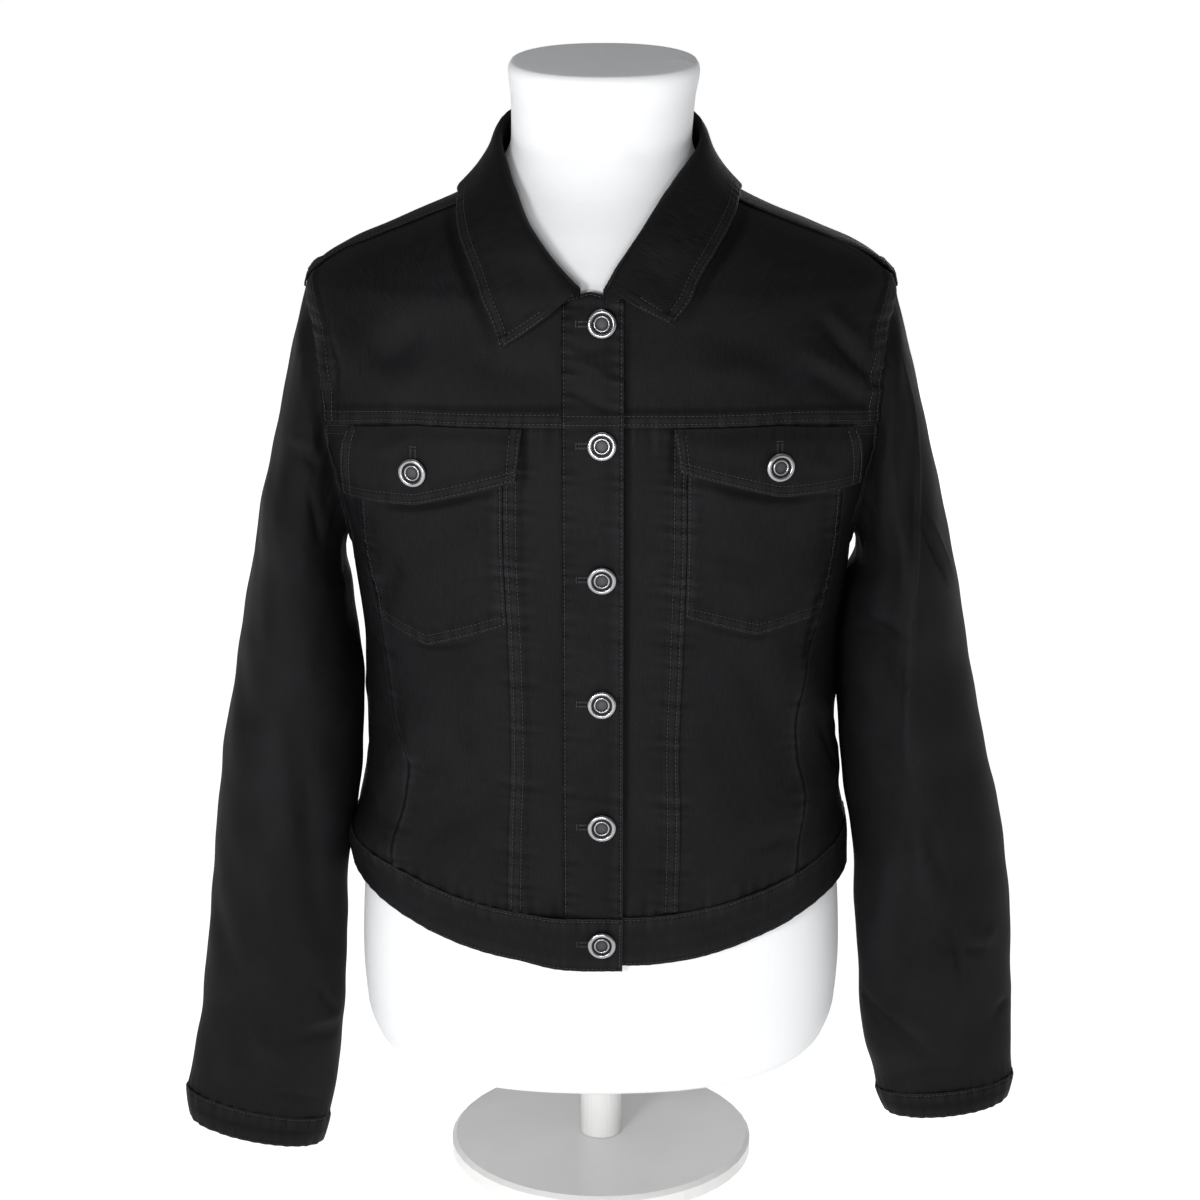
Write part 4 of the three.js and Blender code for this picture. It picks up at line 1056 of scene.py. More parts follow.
FORM_CREASES = (
    (on_cap((80, 0.93), (110, 0.9), (145, 0.88), (180, 0.87), (215, 0.88), (250, 0.9), (275, 0.93)),
     0.9, -0.7),
    (on_cap((78, 1.0), (84, 0.88), (96, 0.8)), 1.6, 1.6),
    (on_cap((88, 1.0), (90, 0.9), (104, 0.84)), 1.2, 1.3),
    (on_cap((70, 0.99), (76, 0.84), (86, 0.74)), 1.3, 0.9),
    (on_form((-30, 738), (-14, 758), (4, 772)), 6, -0.5),
    (on_form((-22, 726), (-4, 744), (16, 756)), 7, 0.5),
    (on_form((34, 734), (20, 752), (6, 762)), 7, -0.4),
)


# Materials


class Value:
    """A number socket that sums and products can be written with."""

    def __init__(self, maker, socket):
        self.maker, self.socket = maker, socket

    def _math(self, operation, *values):
        return self.maker.number("ShaderNodeMath", {"operation": operation}, dict(enumerate(values)))

    def __add__(self, other):
        return self._math("ADD", self, other)

    __radd__ = __add__

    def __sub__(self, other):
        return self._math("SUBTRACT", self, other)

    def __rsub__(self, other):
        return self._math("SUBTRACT", other, self)

    def __mul__(self, other):
        return self._math("MULTIPLY", self, other)

    __rmul__ = __mul__

    def wave(self):
        return self._math("SINE", self)

    def clamped(self):
        return self.maker.number("ShaderNodeClamp", {}, {0: self})


class Finish:
    """A material and its nodes."""

    def __init__(self, name, **constants):
        self.material = bpy.data.materials.new(name)
        self.material.use_nodes = True
        self.nodes = self.material.node_tree.nodes
        self.links = self.material.node_tree.links
        self.shader = self.nodes["Principled BSDF"]
        for key, value in constants.items():
            self.shader.inputs[key.replace("_", " ")].default_value = value

    def node(self, kind, settings, values):
        """Adds a node: its settings first, then the values or links of its sockets."""
        node = self.nodes.new(kind)
        for name, value in settings.items():
            setattr(node, name, value)
        for key, value in values.items():
            if isinstance(value, Value):
                self.links.new(value.socket, node.inputs[key])
            elif isinstance(value, bpy.types.NodeSocket):
                self.links.new(value, node.inputs[key])
            else:
                node.inputs[key].default_value = value
        return node

    def number(self, kind, settings, values, output=0):
        return Value(self, self.node(kind, settings, values).outputs[output])

    def attribute(self, name):
        return self.number("ShaderNodeAttribute", {"attribute_name": name}, {}, "Fac")

    def coordinates(self, name):
        return self.node("ShaderNodeTexCoord", {}, {}).outputs[name]

    def axes(self, vector):
        node = self.node("ShaderNodeSeparateXYZ", {}, {0: vector})
        return tuple(Value(self, socket) for socket in node.outputs)

    def stretched(self, vector, scale):
        return self.node("ShaderNodeMapping", {}, {"Vector": vector, "Scale": scale}).outputs[0]

    def noise(self, vector, scale, detail=3.0, roughness=0.5):
        values = {"Vector": vector, "Scale": scale, "Detail": detail, "Roughness": roughness}
        return self.number("ShaderNodeTexNoise", {}, values, "Fac")

    def mixed(self, factor, a, b):
        """Two colours mixed by a factor."""
        return self.node(
            "ShaderNodeMix", {"data_type": "RGBA"}, {0: factor, 6: a, 7: b}
        ).outputs[2]

    def bump(self, height, strength, distance):
        values = {"Height": height, "Strength": strength, "Distance": distance}
        return self.node("ShaderNodeBump", {}, values).outputs[0]

    def feed(self, **sockets):
        for key, value in sockets.items():
            socket = value.socket if isinstance(value, Value) else value
            self.links.new(socket, self.shader.inputs[key.replace("_", " ")])
        return self.material


def shade(colour, factor):
    return (colour[0] * factor, colour[1] * factor, colour[2] * factor, 1)


def denim_finish(colour, twill):
    """Black twill: fine slanting ribs, uneven yarn, seams rubbed a little lighter, and painted shade in seam
    hollows and beside raised edges.
    """
    made = Finish("black_denim", Specular_IOR_Level=0.1)
    uv = made.coordinates("UV")
    across, along, _ = made.axes(uv)
    yarn = made.noise(made.stretched(uv, (900, 90, 1)), 1.0, 4.0)
    cloud = made.noise(made.stretched(uv, (22, 14, 1)), 1.0, 3.0)
    slope = 2 * math.pi / twill
    rib = ((across * (slope * 0.82) - along * (slope * 0.57)) + yarn * 2.2).wave()
    # Positive values lighten rubbed edges; negative values darken the colour as painted shade in seam
    # hollows, under raised edges and beside flaps, pockets, the placket and the collar
    wear_and_shade = made.attribute("wear_and_painted_shade")
    grain = made.noise(made.stretched(uv, (1500, 1500, 1)), 1.0, 2.0)
    light = yarn * 0.8 + rib * 0.16 + cloud * 0.4 + grain * 0.9 + wear_and_shade * 0.5 - 0.73
    base = made.mixed(light.clamped(), shade(colour, 0.05), shade(colour, 3.0))
    rough = 0.5 + yarn * 0.16 + grain * 0.12 - wear_and_shade * 0.12
    height = rib * 0.5 + yarn * 0.9
    return made.feed(Base_Color=base, Roughness=rough, Normal=made.bump(height, 0.55, 0.00012))


def thread_finish(colour):
    """Black sewing thread, a little glossier than the cloth."""
    made = Finish("black_thread", Specular_IOR_Level=0.4)
    place = made.coordinates("Object")
    fibre = made.noise(place, 2600.0, 2.0)
    base = made.mixed(fibre, shade(colour, 0.7), shade(colour, 1.5))
    return made.feed(Base_Color=base, Roughness=0.42 + fibre * 0.2, Normal=made.bump(fibre, 0.4, 0.0001))


def cover_finish(colour):
    """White stretch jersey: fine knitted ribs, a soft uneven surface and painted shade in its creases."""
    made = Finish("white_jersey", Specular_IOR_Level=0.3, Sheen_Weight=0.2, Sheen_Roughness=0.5)
    uv = made.coordinates("UV")
    across, along, _ = made.axes(uv)
    rib = (across * (2 * math.pi / 0.0011)).wave() * 0.6 + (along * (2 * math.pi / 0.0008)).wave() * 0.4
    cloud = made.noise(made.stretched(uv, (9, 9, 1)), 1.0, 4.0)
    # Painted shade: darker where the cover's creases sink in, round the cap's edge and at the neck
    shadow = made.attribute("painted_crease_shade")
    base = made.mixed((cloud * 0.5 + shadow * 0.6).clamped(), shade(colour, 1.0), shade(colour, 0.86))
    return made.feed(
        Base_Color=base,
        Roughness=0.78 + cloud * 0.12,
        Normal=made.bump(rib + cloud, 0.25, 0.0002),
    )


def button_finish(colour):
    """Polished dark nickel with a dull recess, fine turning marks and small scratches."""
    made = Finish("dark_nickel", Metallic=1.0)
    place = made.coordinates("Object")
    well = made.attribute("well")
    scratch = made.noise(made.stretched(place, (900, 900, 4200)), 1.0, 3.0)
    spot = made.noise(place, 700.0, 2.0)
    base = made.mixed((well * 0.9 + scratch * 0.15).clamped(), shade(colour, 1.0), shade(colour, 0.05))
    rough = 0.18 + well * 0.4 + scratch * 0.12
    return made.feed(Base_Color=base, Roughness=rough, Normal=made.bump(spot + scratch, 0.2, 0.0001))


def paint_finish(colour):
    """Satin white paint with a faint orange peel."""
    made = Finish("white_paint", Specular_IOR_Level=0.5, Coat_Roughness=0.3)
    place = made.coordinates("Object")
    peel = made.noise(place, 420.0, 2.0)
    dust = made.noise(place, 30.0, 4.0)
    base = made.mixed(dust, shade(colour, 1.0), shade(colour, 0.9))
    return made.feed(
        Base_Color=base,
        Roughness=0.34 + dust * 0.14,
        Normal=made.bump(peel, 0.15, 0.0002),
        Coat_Weight=0.3 - dust * 0.1,
    )


def floor_finish(colour):
    made = Finish("pale_floor", Specular_IOR_Level=0.1, Roughness=0.9, Emission_Strength=0.8)
    made.shader.inputs["Emission Color"].default_value = (1, 1, 1, 1)
    made.shader.inputs["Base Color"].default_value = shade(colour, 1)
    return made.material


# Settings


class JacketDenim(bpy.types.PropertyGroup):
    """The cloth and its sewing"""

    thickness: bpy.props.FloatProperty(
        name="Cloth thickness", description="One layer of denim", default=0.001, unit="LENGTH"
    )
    band_thickness: bpy.props.FloatProperty(
        name="Folded thickness", description="Waistband, cuffs and collar", default=0.002, unit="LENGTH"
    )
    twill: bpy.props.FloatProperty(
        name="Twill ribs", description="From one slanting rib to the next", default=0.0012, unit="LENGTH"
    )
    colour: bpy.props.FloatVectorProperty(
        name="Cloth colour", description="Black denim", size=3, subtype="COLOR",
        default=(0.0039, 0.0040, 0.0046),
    )
    pucker: bpy.props.FloatProperty(
        name="Pucker", description="How far the small waves along seams stand out",
        default=0.0007, unit="LENGTH",
    )
    stitch: bpy.props.FloatProperty(
        name="Stitch", description="From one stitch to the next", default=0.003, unit="LENGTH"
    )
    thread: bpy.props.FloatProperty(
        name="Thread", description="Thickness of the sewing thread", default=0.0006, unit="LENGTH"
    )
    thread_colour: bpy.props.FloatVectorProperty(
        name="Thread colour", description="Black thread", size=3, subtype="COLOR",
        default=(0.0125, 0.0125, 0.0138),
    )


class JacketMetal(bpy.types.PropertyGroup):
    """The buttons"""

    diameter: bpy.props.FloatProperty(
        name="Button diameter", description="Across the rim", default=0.0196, unit="LENGTH"
    )
    colour: bpy.props.FloatVectorProperty(
        name="Button colour", description="Dark nickel", size=3, subtype="COLOR",
        default=(0.33, 0.33, 0.345),
    )


class JacketForm(bpy.types.PropertyGroup):
    """The form and its stand"""

    colour: bpy.props.FloatVectorProperty(
        name="Cover colour", description="White jersey", size=3, subtype="COLOR",
        default=(0.785, 0.795, 0.81),
    )
    paint: bpy.props.FloatVectorProperty(
        name="Stand colour", description="White paint", size=3, subtype="COLOR",
        default=(0.72, 0.72, 0.71),
    )


class JacketStudio(bpy.types.PropertyGroup):
    """The studio"""

    floor: bpy.props.FloatVectorProperty(
        name="Floor colour", description="Pale floor", size=3, subtype="COLOR",
        default=(0.84, 0.84, 0.84),
    )
    lens: bpy.props.FloatProperty(
        name="Lens", description="Focal length of the camera, in millimetres", default=99
    )
    pitch: bpy.props.FloatProperty(
        name="Looking down", description="How far the camera is tilted down",
        default=math.radians(17), subtype="ANGLE",
    )


finishes = {}
template = {}


def denim_settings():
    return bpy.context.scene.jacket_denim


def finish(name):
    """A finish is made once, with the settings' colours."""
    if name not in finishes:
        scene = bpy.context.scene
        made = {
            "denim": lambda: denim_finish(scene.jacket_denim.colour, scene.jacket_denim.twill),
            "thread": lambda: thread_finish(scene.jacket_denim.thread_colour),
            "cover": lambda: cover_finish(scene.jacket_form.colour),
            "metal": lambda: button_finish(scene.jacket_metal.colour),
            "paint": lambda: paint_finish(scene.jacket_form.paint),
            "floor": lambda: floor_finish(scene.jacket_studio.floor),
        }
        finishes[name] = made[name]()
    return finishes[name]


# Pieces


def add_stitches(cloth):
    """Every row of stitches on one piece of cloth, as one mesh."""
    settings = denim_settings()
    centres, ahead, out = [], [], []
    for line, facing in cloth.seams:
        if len(line) < 3:
            continue
        found = stitch_places(line, facing, settings.stitch / MM)
        for store, values in zip((centres, ahead, out), found):
            store.append(values)
    if not centres:
        return []
    if "stitch" not in template:
        template["stitch"] = stitch_template()
    thread = settings.thread / MM
    centres, ahead, out = (np.concatenate(values) for values in (centres, ahead, out))
    obj = copies(f"{cloth.name}_stitches", template["stitch"], centres + out * thread * 0.22,
                 ahead, out, (settings.stitch / MM * 0.86, thread, thread * 0.8))
    smooth_shade(obj, 60)
    finish_piece(obj, finish("thread"), "denim")
    return [obj]


def build_cloth(cloth, uv, wear_and_painted_shade, thickness, closed=False):
    """Makes a piece's mesh, gives it its thickness and says what it was cut from."""
    obj = grid_object(cloth.name + "_cloth", cloth.points, uv)
    add_attribute(obj, "wear_and_painted_shade", wear_and_painted_shade)
    if closed:
        edit(obj, lambda: bpy.ops.mesh.remove_doubles(threshold=1e-6))
    area = sum(face.area for face in obj.data.polygons)
    apply_modifier(obj, "SOLIDIFY", thickness=thickness, offset=-1)
    smooth_shade(obj, 55)
    finish_piece(obj, finish("denim"), "denim", cloth.name)
    width, length = (value * MM for value in cloth.size)
    area = min(area, width * length)
    add_stitches(cloth)


def edge_wear_and_shade(apart, kinds, waves, rows=BOTH_ROWS):
    """Rubbed lighter on raised edges and the crests of small waves; negative, as painted shade, in the
    troughs of the waves and where it lies in the hollow of a stitched row, a plain seam or the edge of the
    piece above."""
    wear_and_painted_shade = np.clip(waves * 0.45, -0.3, 0.5)
    for edge, kind in zip(EDGES, kinds):
        d = apart[edge]
        if kind == "flush":
            wear_and_painted_shade = wear_and_painted_shade - 0.5 * hump(d, 0.8, 1.7) - 0.5 * hump(d, 0.9)
        if kind in ("over", "free"):
            wear_and_painted_shade = wear_and_painted_shade + 0.75 * hump(d, 0.8, 0.5)
            wear_and_painted_shade = wear_and_painted_shade + 0.3 * hump(d, 1.8, 4.6) - 0.2 * hump(d, 1.4, 11.5)
            for row in rows[edge]:
                wear_and_painted_shade = wear_and_painted_shade - 0.75 * hump(d, 0.6, row)
        if kind == "under":
            wear_and_painted_shade = wear_and_painted_shade - 1.0 * hump(np.maximum(d, 0), 1.6)
        if kind in ("lap", "tuck"):
            wear_and_painted_shade = wear_and_painted_shade - 1.0 * hump(np.maximum(d, 0), 1.0)
            wear_and_painted_shade = wear_and_painted_shade + 0.5 * hump(d, 1.2, 2.4)
    return np.clip(wear_and_painted_shade, -1, 1)


def torso_cloth(name, edges, kinds, step, seed, lift=0, puckers=(1, 1, 1, 1), thickness=None,
                creases=(), shades=(), levels=(), rows=BOTH_ROWS, mask=None, reach=10):
    """A panel that lies on the worn jacket's surface."""
    settings = denim_settings()
    where, apart, size = patch(*edges, kinds, step)
    turn, z = where[..., 0], where[..., 1]
    base = surface(turn, z, lift(apart) if callable(lift) else lift)
    rise = np.zeros(turn.shape)
    # Where a piece runs under its neighbour, its own raised seams lie flat
    clear = np.ones(turn.shape)
    for edge, kind in zip(EDGES, kinds):
        if kind == "under":
            clear = clear * smooth_step(-1, 8, apart[edge])
    waves = np.zeros(turn.shape)
    for edge, kind, strength in zip(EDGES, kinds, puckers):
        d = apart[edge]
        sideways = edge in ("start", "end")
        part = 1 if mask is None or edge != mask[0] else mask[1](turn)
        if kind == "over":
            raised = SEAM_RISE * (1 - smooth_step(8.6, 11.0, d)) - 0.35 * hump(d, 0.7, -0.8)
            rise = np.maximum(rise, raised * part * clear)
        if kind == "free":
            rise = rise - 0.45 * hump(d, 0.55)
        if kind == "lap":
            rise = rise + 0.75 * (1 - smooth_step(1.5, 7.5, d)) - 0.5 * hump(d, 0.8, -0.4)
        if kind == "tuck":
            rise = rise - 0.9 * (1 - smooth_step(-0.5, 3.2, d))
        if kind in STITCHED:
            for row in rows[edge]:
                rise = rise - 0.3 * hump(d, 0.8, row) * part
        if strength and kind != "plain":
            coordinate = z + 0.25 * turn if sideways else turn * TURN_MM
            wave = ripple(coordinate, 11 if sideways else 23, PUCKER_PITCH)
            wide = ripple(coordinate, 31 if sideways else 43, WIDE_PUCKER_PITCH)
            fade = hump(np.maximum(d, 0), reach) + 0.35 * hump(d, 24) * wide
            waves = waves + strength * wave * fade
            rise = rise + settings.pucker / MM * strength * wave * fade * part
    rise = rise + unevenness(base, seed, 0.35)
    if creases:
        rise = rise + crease_rise(surface(turn, z), creases)
    normal = grid_normals(base)
    cloth = Cloth(name, base + normal * rise[..., None], apart, size)
    for edge, kind in zip(EDGES, kinds):
        if kind in STITCHED:
            for row in rows[edge]:
                cloth.sew(edge, row)
    for level in levels:
        cloth.sew_level(level)
    uv = np.stack([apart["start"], apart["bottom"]], axis=-1) + seed * 37.0
    # Wear lightens rubbed edges; painted shade darkens seam hollows, the cloth under the edges of pieces
    # above, and the shade lines beside flaps, pockets, the placket and the collar
    wear_and_painted_shade = edge_wear_and_shade(apart, kinds, waves, rows) + crease_rise(surface(turn, z), shades)
    build_cloth(cloth, uv, np.clip(wear_and_painted_shade, -1, 1), thickness or settings.thickness)


def side_edges(side, bottom, top, inner, outer):
    """Grids run from the wearer's right to the left, so the right side's are turned round."""
    if side < 0:
        return reverse(bottom), reverse(top), outer, inner
    return bottom, top, inner, outer


def side_kinds(side, inner, outer, bottom, top):
    return (outer, inner, bottom, top) if side < 0 else (inner, outer, bottom, top)


def front_seams(side):
    column = 0 if side < 0 else 1
    strip_top = side * float(Table(STRIP_SEAM)(YOKE_SEAM_Z)[column])
    side_top = side * SIDE_SEAM[-1][column + 1]
    back_x = BACK_SEAM[-1][1]
    return {
        "strip_top": strip_top,
        "side_top": side_top,
        "strip": down_seam(STRIP_SEAM, side, yoke_place(strip_top)[1]),
        "side": down_seam(SIDE_SEAM, side, yoke_place(side_top)[1]),
        "back": down_seam(BACK_SEAM, side, yoke_place(back_x, True)[1], True),
        "back_top": side * back_x,
    }


def lap_x(side):
    """Where a front's inner edge lies, under the plackets."""
    return PLACKET_INNER_X + 4 if side < 0 else PLACKET_OUTER_X - 7


class JACKET_OT_fronts(bpy.types.Operator):
    """Yokes, strips and panels of both fronts, and the panels under the arms"""

    bl_idname = "jacket.fronts"
    bl_label = "Fronts"

    def execute(self, context):
        for name, side in SIDES:
            seams = front_seams(side)
            inner_x = lap_x(side)
            inner_turn = hem_turn_at(inner_x)
            strip_turn, side_turn = seams["strip"](0.0)[0], seams["side"](0.0)[0]
            creases = FRONT_CREASES[name]
            shades = edge_shades(side) + ((PLACKET_SHADE,) if side > 0 else ())
            torso_cloth(
                f"front_strip_{name}",
                side_edges(
                    side,
                    hem_run(inner_turn, strip_turn),
                    yoke_run(inner_x, seams["strip_top"]),
                    middle_line(inner_x, hem_place(inner_turn)[1], YOKE_SEAM_Z),
                    seams["strip"],
                ),
                side_kinds(side, "plain", "over", "under", "under"),
                step=(2.4, 2.0), creases=creases, shades=shades, seed=3 + side, reach=15,
                puckers=(1.7, 1.7, 1, 1),
            )
            torso_cloth(
                f"front_panel_{name}",
                side_edges(
                    side,
                    hem_run(strip_turn, side_turn),
                    yoke_run(seams["strip_top"], seams["side_top"]),
                    seams["strip"],
                    seams["side"],
                ),
                side_kinds(side, "under", "lap", "under", "under"),
                step=(2.8, 2.2), creases=creases, shades=shades, seed=7 + side,
            )
            self.add_side(name, side, seams, side_turn)
            self.add_yoke(name, side, inner_x)
        return {"FINISHED"}

    def add_side(self, name, side, seams, side_turn):
        back = turned(seams["back"], side)
        armhole_back = armhole_place(np.float64(270), side)
        front = armhole_place(np.float64(90), side)
        wrapped = places(side * abs(armhole_back[0]), armhole_back[1])
        back_top = turned(lambda t: yoke_place(seams["back_top"] + 0 * t, True), side)(np.float64(0))

        def sleeve_part(turn):
            reach = np.abs(turn)
            low, high = abs(float(front[0])), abs(float(armhole_back[0]))
            return smooth_step(low - 1, low + 3, reach) * (1 - smooth_step(high - 3, high + 1, reach))

        torso_cloth(
            f"side_panel_{name}",
            side_edges(
                side,
                hem_run(side_turn, back(0.0)[0]),
                chain(
                    (between(seams["side"](1.0), front), 2),
                    (turned(armhole_run(side, 90, 270), side), 12),
                    (between(wrapped, back_top), 2),
                ),
                seams["side"],
                back,
            ),
            side_kinds(side, "tuck", "under", "under", "over"),
            step=(3.4, 3.4), puckers=(1, 1, 1, 0.6), mask=("top", sleeve_part),
            creases=SIDE_CREASES[name], seed=13 + side,
        )

    def add_yoke(self, name, side, inner_x):
        neck_from = math.degrees(math.asin(abs(inner_x) / NECK["half"])) * side
        neck_line = neck_run(neck_from, side * SHOULDER_ANGLE)
        torso_cloth(
            f"front_yoke_{name}",
            side_edges(
                side,
                yoke_run(inner_x, side * ARMHOLE_FRONT_X),
                shoulder_seam(side),
                chain((between(yoke_place(inner_x), neck_line(0.0)), 4), (neck_line, 6)),
                armhole_run(side, 90, ARMHOLE_STEP),
            ),
            side_kinds(side, "plain", "over", "over", "under"),
            step=(2.8, 2.8), creases=YOKE_CREASES[name], seed=17 + side,
            shades=edge_shades(side)[3:] + ((PLACKET_SHADE,) if side > 0 else ()),
        )


class JACKET_OT_plackets(bpy.types.Operator):
    """The right placket, which closes over the left one"""

    bl_idname = "jacket.plackets"
    bl_label = "Plackets"

    def execute(self, context):
        self.add_placket("placket_left", lap_x(-1), PLACKET_OUTER_X + 3, PLACKET_UNDER_TOP,
                         ("plain", "plain", "under", "plain"), lift=PLACKET_UNDER_LIFT, puckers=(0, 0, 0, 0),
                         seed=27)

        def over(apart):
            return mix(PLACKET_SEAM_LIFT, PLACKET_LIFT, smooth_step(2, 22, apart["start"]))

        self.add_placket("placket_right", PLACKET_INNER_X, PLACKET_OUTER_X, PLACKET_TOP,
                         ("flush", "free", "under", "free"), lift=over, puckers=(1.2, 1.0, 0, 0), seed=33,
                         creases=PLACKET_CREASES, levels=[YOKE_SEAM_Z + row for row in SEAM_ROWS])
        return {"FINISHED"}

    def add_placket(self, name, low, high, top, kinds, **values):
        def column(x, top_z):
            return middle_line(x, hem_place(hem_turn_at(x))[1], top_z)

        torso_cloth(
            name,
            (
                hem_run(hem_turn_at(low), hem_turn_at(high)),
                front_line((low, top[0], 1), (mix(low, high, 0.45), top[1], 9), (high, top[2], 11)),
                column(low, top[0]),
                column(high, top[2]),
            ),
            kinds, step=(2.2, 1.9), rows=ONE_ROW, **values,
        )


class JACKET_OT_pockets(bpy.types.Operator):
    """Chest pockets with pointed lower edges, and their flaps"""

    bl_idname = "jacket.pockets"
    bl_label = "Pockets and flaps"

    def execute(self, context):
        for name, side in SIDES:
            self.add_pocket(name, side)
            self.add_flap(name, side)
        return {"FINISHED"}

    def add_pocket(self, name, side):
        seams = front_seams(side)
        tip_x, tip_z, end_z = POCKET[name]

        def across(curve, z):
            t = np.full(np.shape(z), 0.5)
            for _ in range(24):
                t = t + (z - curve(t)[..., 1]) / 400
            return section_point(torso, curve(t)[..., 0], z)[..., 0]

        edge_in = 1.5 * side
        top_z = YOKE_SEAM_Z - 14
        inner_low, inner_top = ((across(seams["strip"], z), z) for z in (end_z, top_z))
        outer_low, outer_top = ((across(seams["side"], z), z) for z in (end_z - 8, top_z - 4))

        def edge(low, high, shift, curve):
            def run(t):
                z = mix(low[1], high[1], np.asarray(t))
                return front_place(across(curve, z) + shift, z)
            return run

        torso_cloth(
            f"pocket_{name}",
            side_edges(
                side,
                front_line((inner_low[0] + edge_in, inner_low[1], 0), (side * tip_x, tip_z, 4),
                           (outer_low[0] - edge_in, outer_low[1], 3)),
                front_line((inner_top[0] + edge_in, inner_top[1], 0), (side * tip_x, top_z, 4),
                           (outer_top[0] - edge_in, outer_top[1], 3)),
                edge(inner_low, inner_top, edge_in, seams["strip"]),
                edge(outer_low, outer_top, -edge_in, seams["side"]),
            ),
            side_kinds(side, "free", "free", "free", "plain"),
            lift=POCKET_LIFT, step=(2.6, 2.4), puckers=(1.3, 1.3, 1.2, 0),
            rows={**ONE_ROW, "bottom": SEAM_ROWS},
            creases=FRONT_CREASES[name], shades=edge_shades(side)[:2], seed=41 + side,
        )

    def add_flap(self, name, side):
        inner_x, outer_x, inner_z, point_x, point_z, outer_z = FLAP[name]

        def top(x):
            return (side * x, float(yoke_place(x)[1]) - 1.5)

        low_inner, low_outer = (side * (inner_x + FLAP_EDGE_IN), inner_z), (side * outer_x, outer_z)
        high_inner, high_outer = top(inner_x), top(outer_x - FLAP_EDGE_IN)
        torso_cloth(
            f"flap_{name}",
            side_edges(
                side,
                front_line((*low_inner, 0), (side * point_x, point_z, 5), (*low_outer, 4)),
                front_line((*high_inner, 0), (*top(point_x), 5), (*high_outer, 4)),
                between(front_place(*low_inner), front_place(*high_inner)),
                between(front_place(*low_outer), front_place(*high_outer)),
            ),
            side_kinds(side, "free", "free", "free", "plain"),
            lift=lambda apart: mix(FLAP_TOP_LIFT, FLAP_LIFT, smooth_step(0, 11, apart["top"])),
            step=(2.4, 2.2), puckers=(0.6, 0.6, 0.7, 0), thickness=FLAP_THICKNESS,
            creases=FLAP_CREASES[name], seed=53 + side,
        )


class JACKET_OT_back(bpy.types.Operator):
    """The back panel, and the back yoke that runs over the shoulders"""

    bl_idname = "jacket.back"
    bl_label = "Back"

    def execute(self, context):
        back_x = BACK_SEAM[-1][1]
        right, left = turned(front_seams(-1)["back"]), turned(front_seams(1)["back"])
        torso_cloth(
            "back_panel",
            (
                hem_run(left(0.0)[0], right(0.0)[0]),
                turned(yoke_run(back_x, -back_x, True)),
                left,
                right,
            ),
            ("over", "over", "under", "under"),
            step=(3.4, 3.2), creases=BACK_CREASES, seed=61,
        )
        torso_cloth(
            "back_yoke",
            (
                turned(yoke_run(ARMHOLE_BACK_X, -ARMHOLE_BACK_X, True)),
                chain(
                    (turned(reverse(shoulder_seam(1))), 6),
                    (turned(neck_run(SHOULDER_ANGLE, 360 - SHOULDER_ANGLE)), 12),
                    (turned(shoulder_seam(-1)), 6),
                ),
                turned(armhole_run(1, -90, ARMHOLE_STEP)),
                turned(armhole_run(-1, -90, ARMHOLE_STEP)),
            ),
            ("over", "over", "over", "over"),
            step=(3.2, 2.6), creases=BACK_YOKE_CREASES, seed=67, puckers=(1, 1, 1, 0.4),
        )
        return {"FINISHED"}


class JACKET_OT_waistband(bpy.types.Operator):
    """The waistband, which goes round the back and closes over itself"""

    bl_idname = "jacket.waistband"
    bl_label = "Waistband"

    def execute(self, context):
        settings = denim_settings()
        start, end = hem_turn_at(PLACKET_INNER_X + 2), 360 + hem_turn_at(PLACKET_OUTER_X)
        climb_from = 360 + start - WAISTBAND_LAP["before"]
        turns = np.arange(start, end, 1.0)
        turns = np.append(turns, end)
        top = hem_place(turns)[:, 1] + 0.8
        share = (top - HEM["front_z"]) / HEM["rise"]
        height = mix(WAISTBAND["front_height"], WAISTBAND["side_height"], share)
        drop = WAISTBAND["drop"] * np.clip((turns - climb_from) / WAISTBAND_LAP["fall"], 0, 1)
        mean = float(height.mean())
        lines = (0, 0.5, 1.0, 1.7, 2.6, 4.6)
        v = spread([mean], lines, lines, 2.6)[0]
        turn, share = np.meshgrid(turns, v)
        z = mix(top - height - drop, top, share)
        climbed = smooth_step(0, 1, (turn - climb_from) / WAISTBAND_LAP["climb"])
        lift = WAISTBAND["lift"] + WAISTBAND_LAP["lift"] * climbed
        base = surface(turn, z, lift)
        normal = grid_normals(base)
        low, high = share * mean, (1 - share) * mean
        nearest = np.minimum(low, high)
        rise = -0.5 * hump(nearest, 0.55) - 0.3 * hump(nearest, 0.8, 1.7)
        wave = ripple(turn * TURN_MM, 23, PUCKER_PITCH)
        fade = hump(high, 9) + 0.6 * hump(low, 9)
        rise = rise + settings.pucker / MM * 1.1 * wave * fade + unevenness(base, 73, 0.45)
        along = keys_along(base[0])
        around = np.broadcast_to(along, turn.shape)
        apart = {"start": around, "end": along[-1] - around, "bottom": low, "top": high}
        size = (float(along[-1]), float(height.max()))
        cloth = Cloth("waistband", base + normal * rise[..., None], apart, size)
        for edge in ("bottom", "top"):
            cloth.sew(edge, SEAM_ROWS[0], (2, 2))
        cloth.sew("end", 2.0, (2, 2))
        uv = np.stack([around, low], axis=-1)
        wear_and_painted_shade = edge_wear_and_shade(apart, ("plain", "free", "free", "free"), wave * fade, ONE_ROW)
        build_cloth(cloth, uv, wear_and_painted_shade, settings.band_thickness)
        return {"FINISHED"}


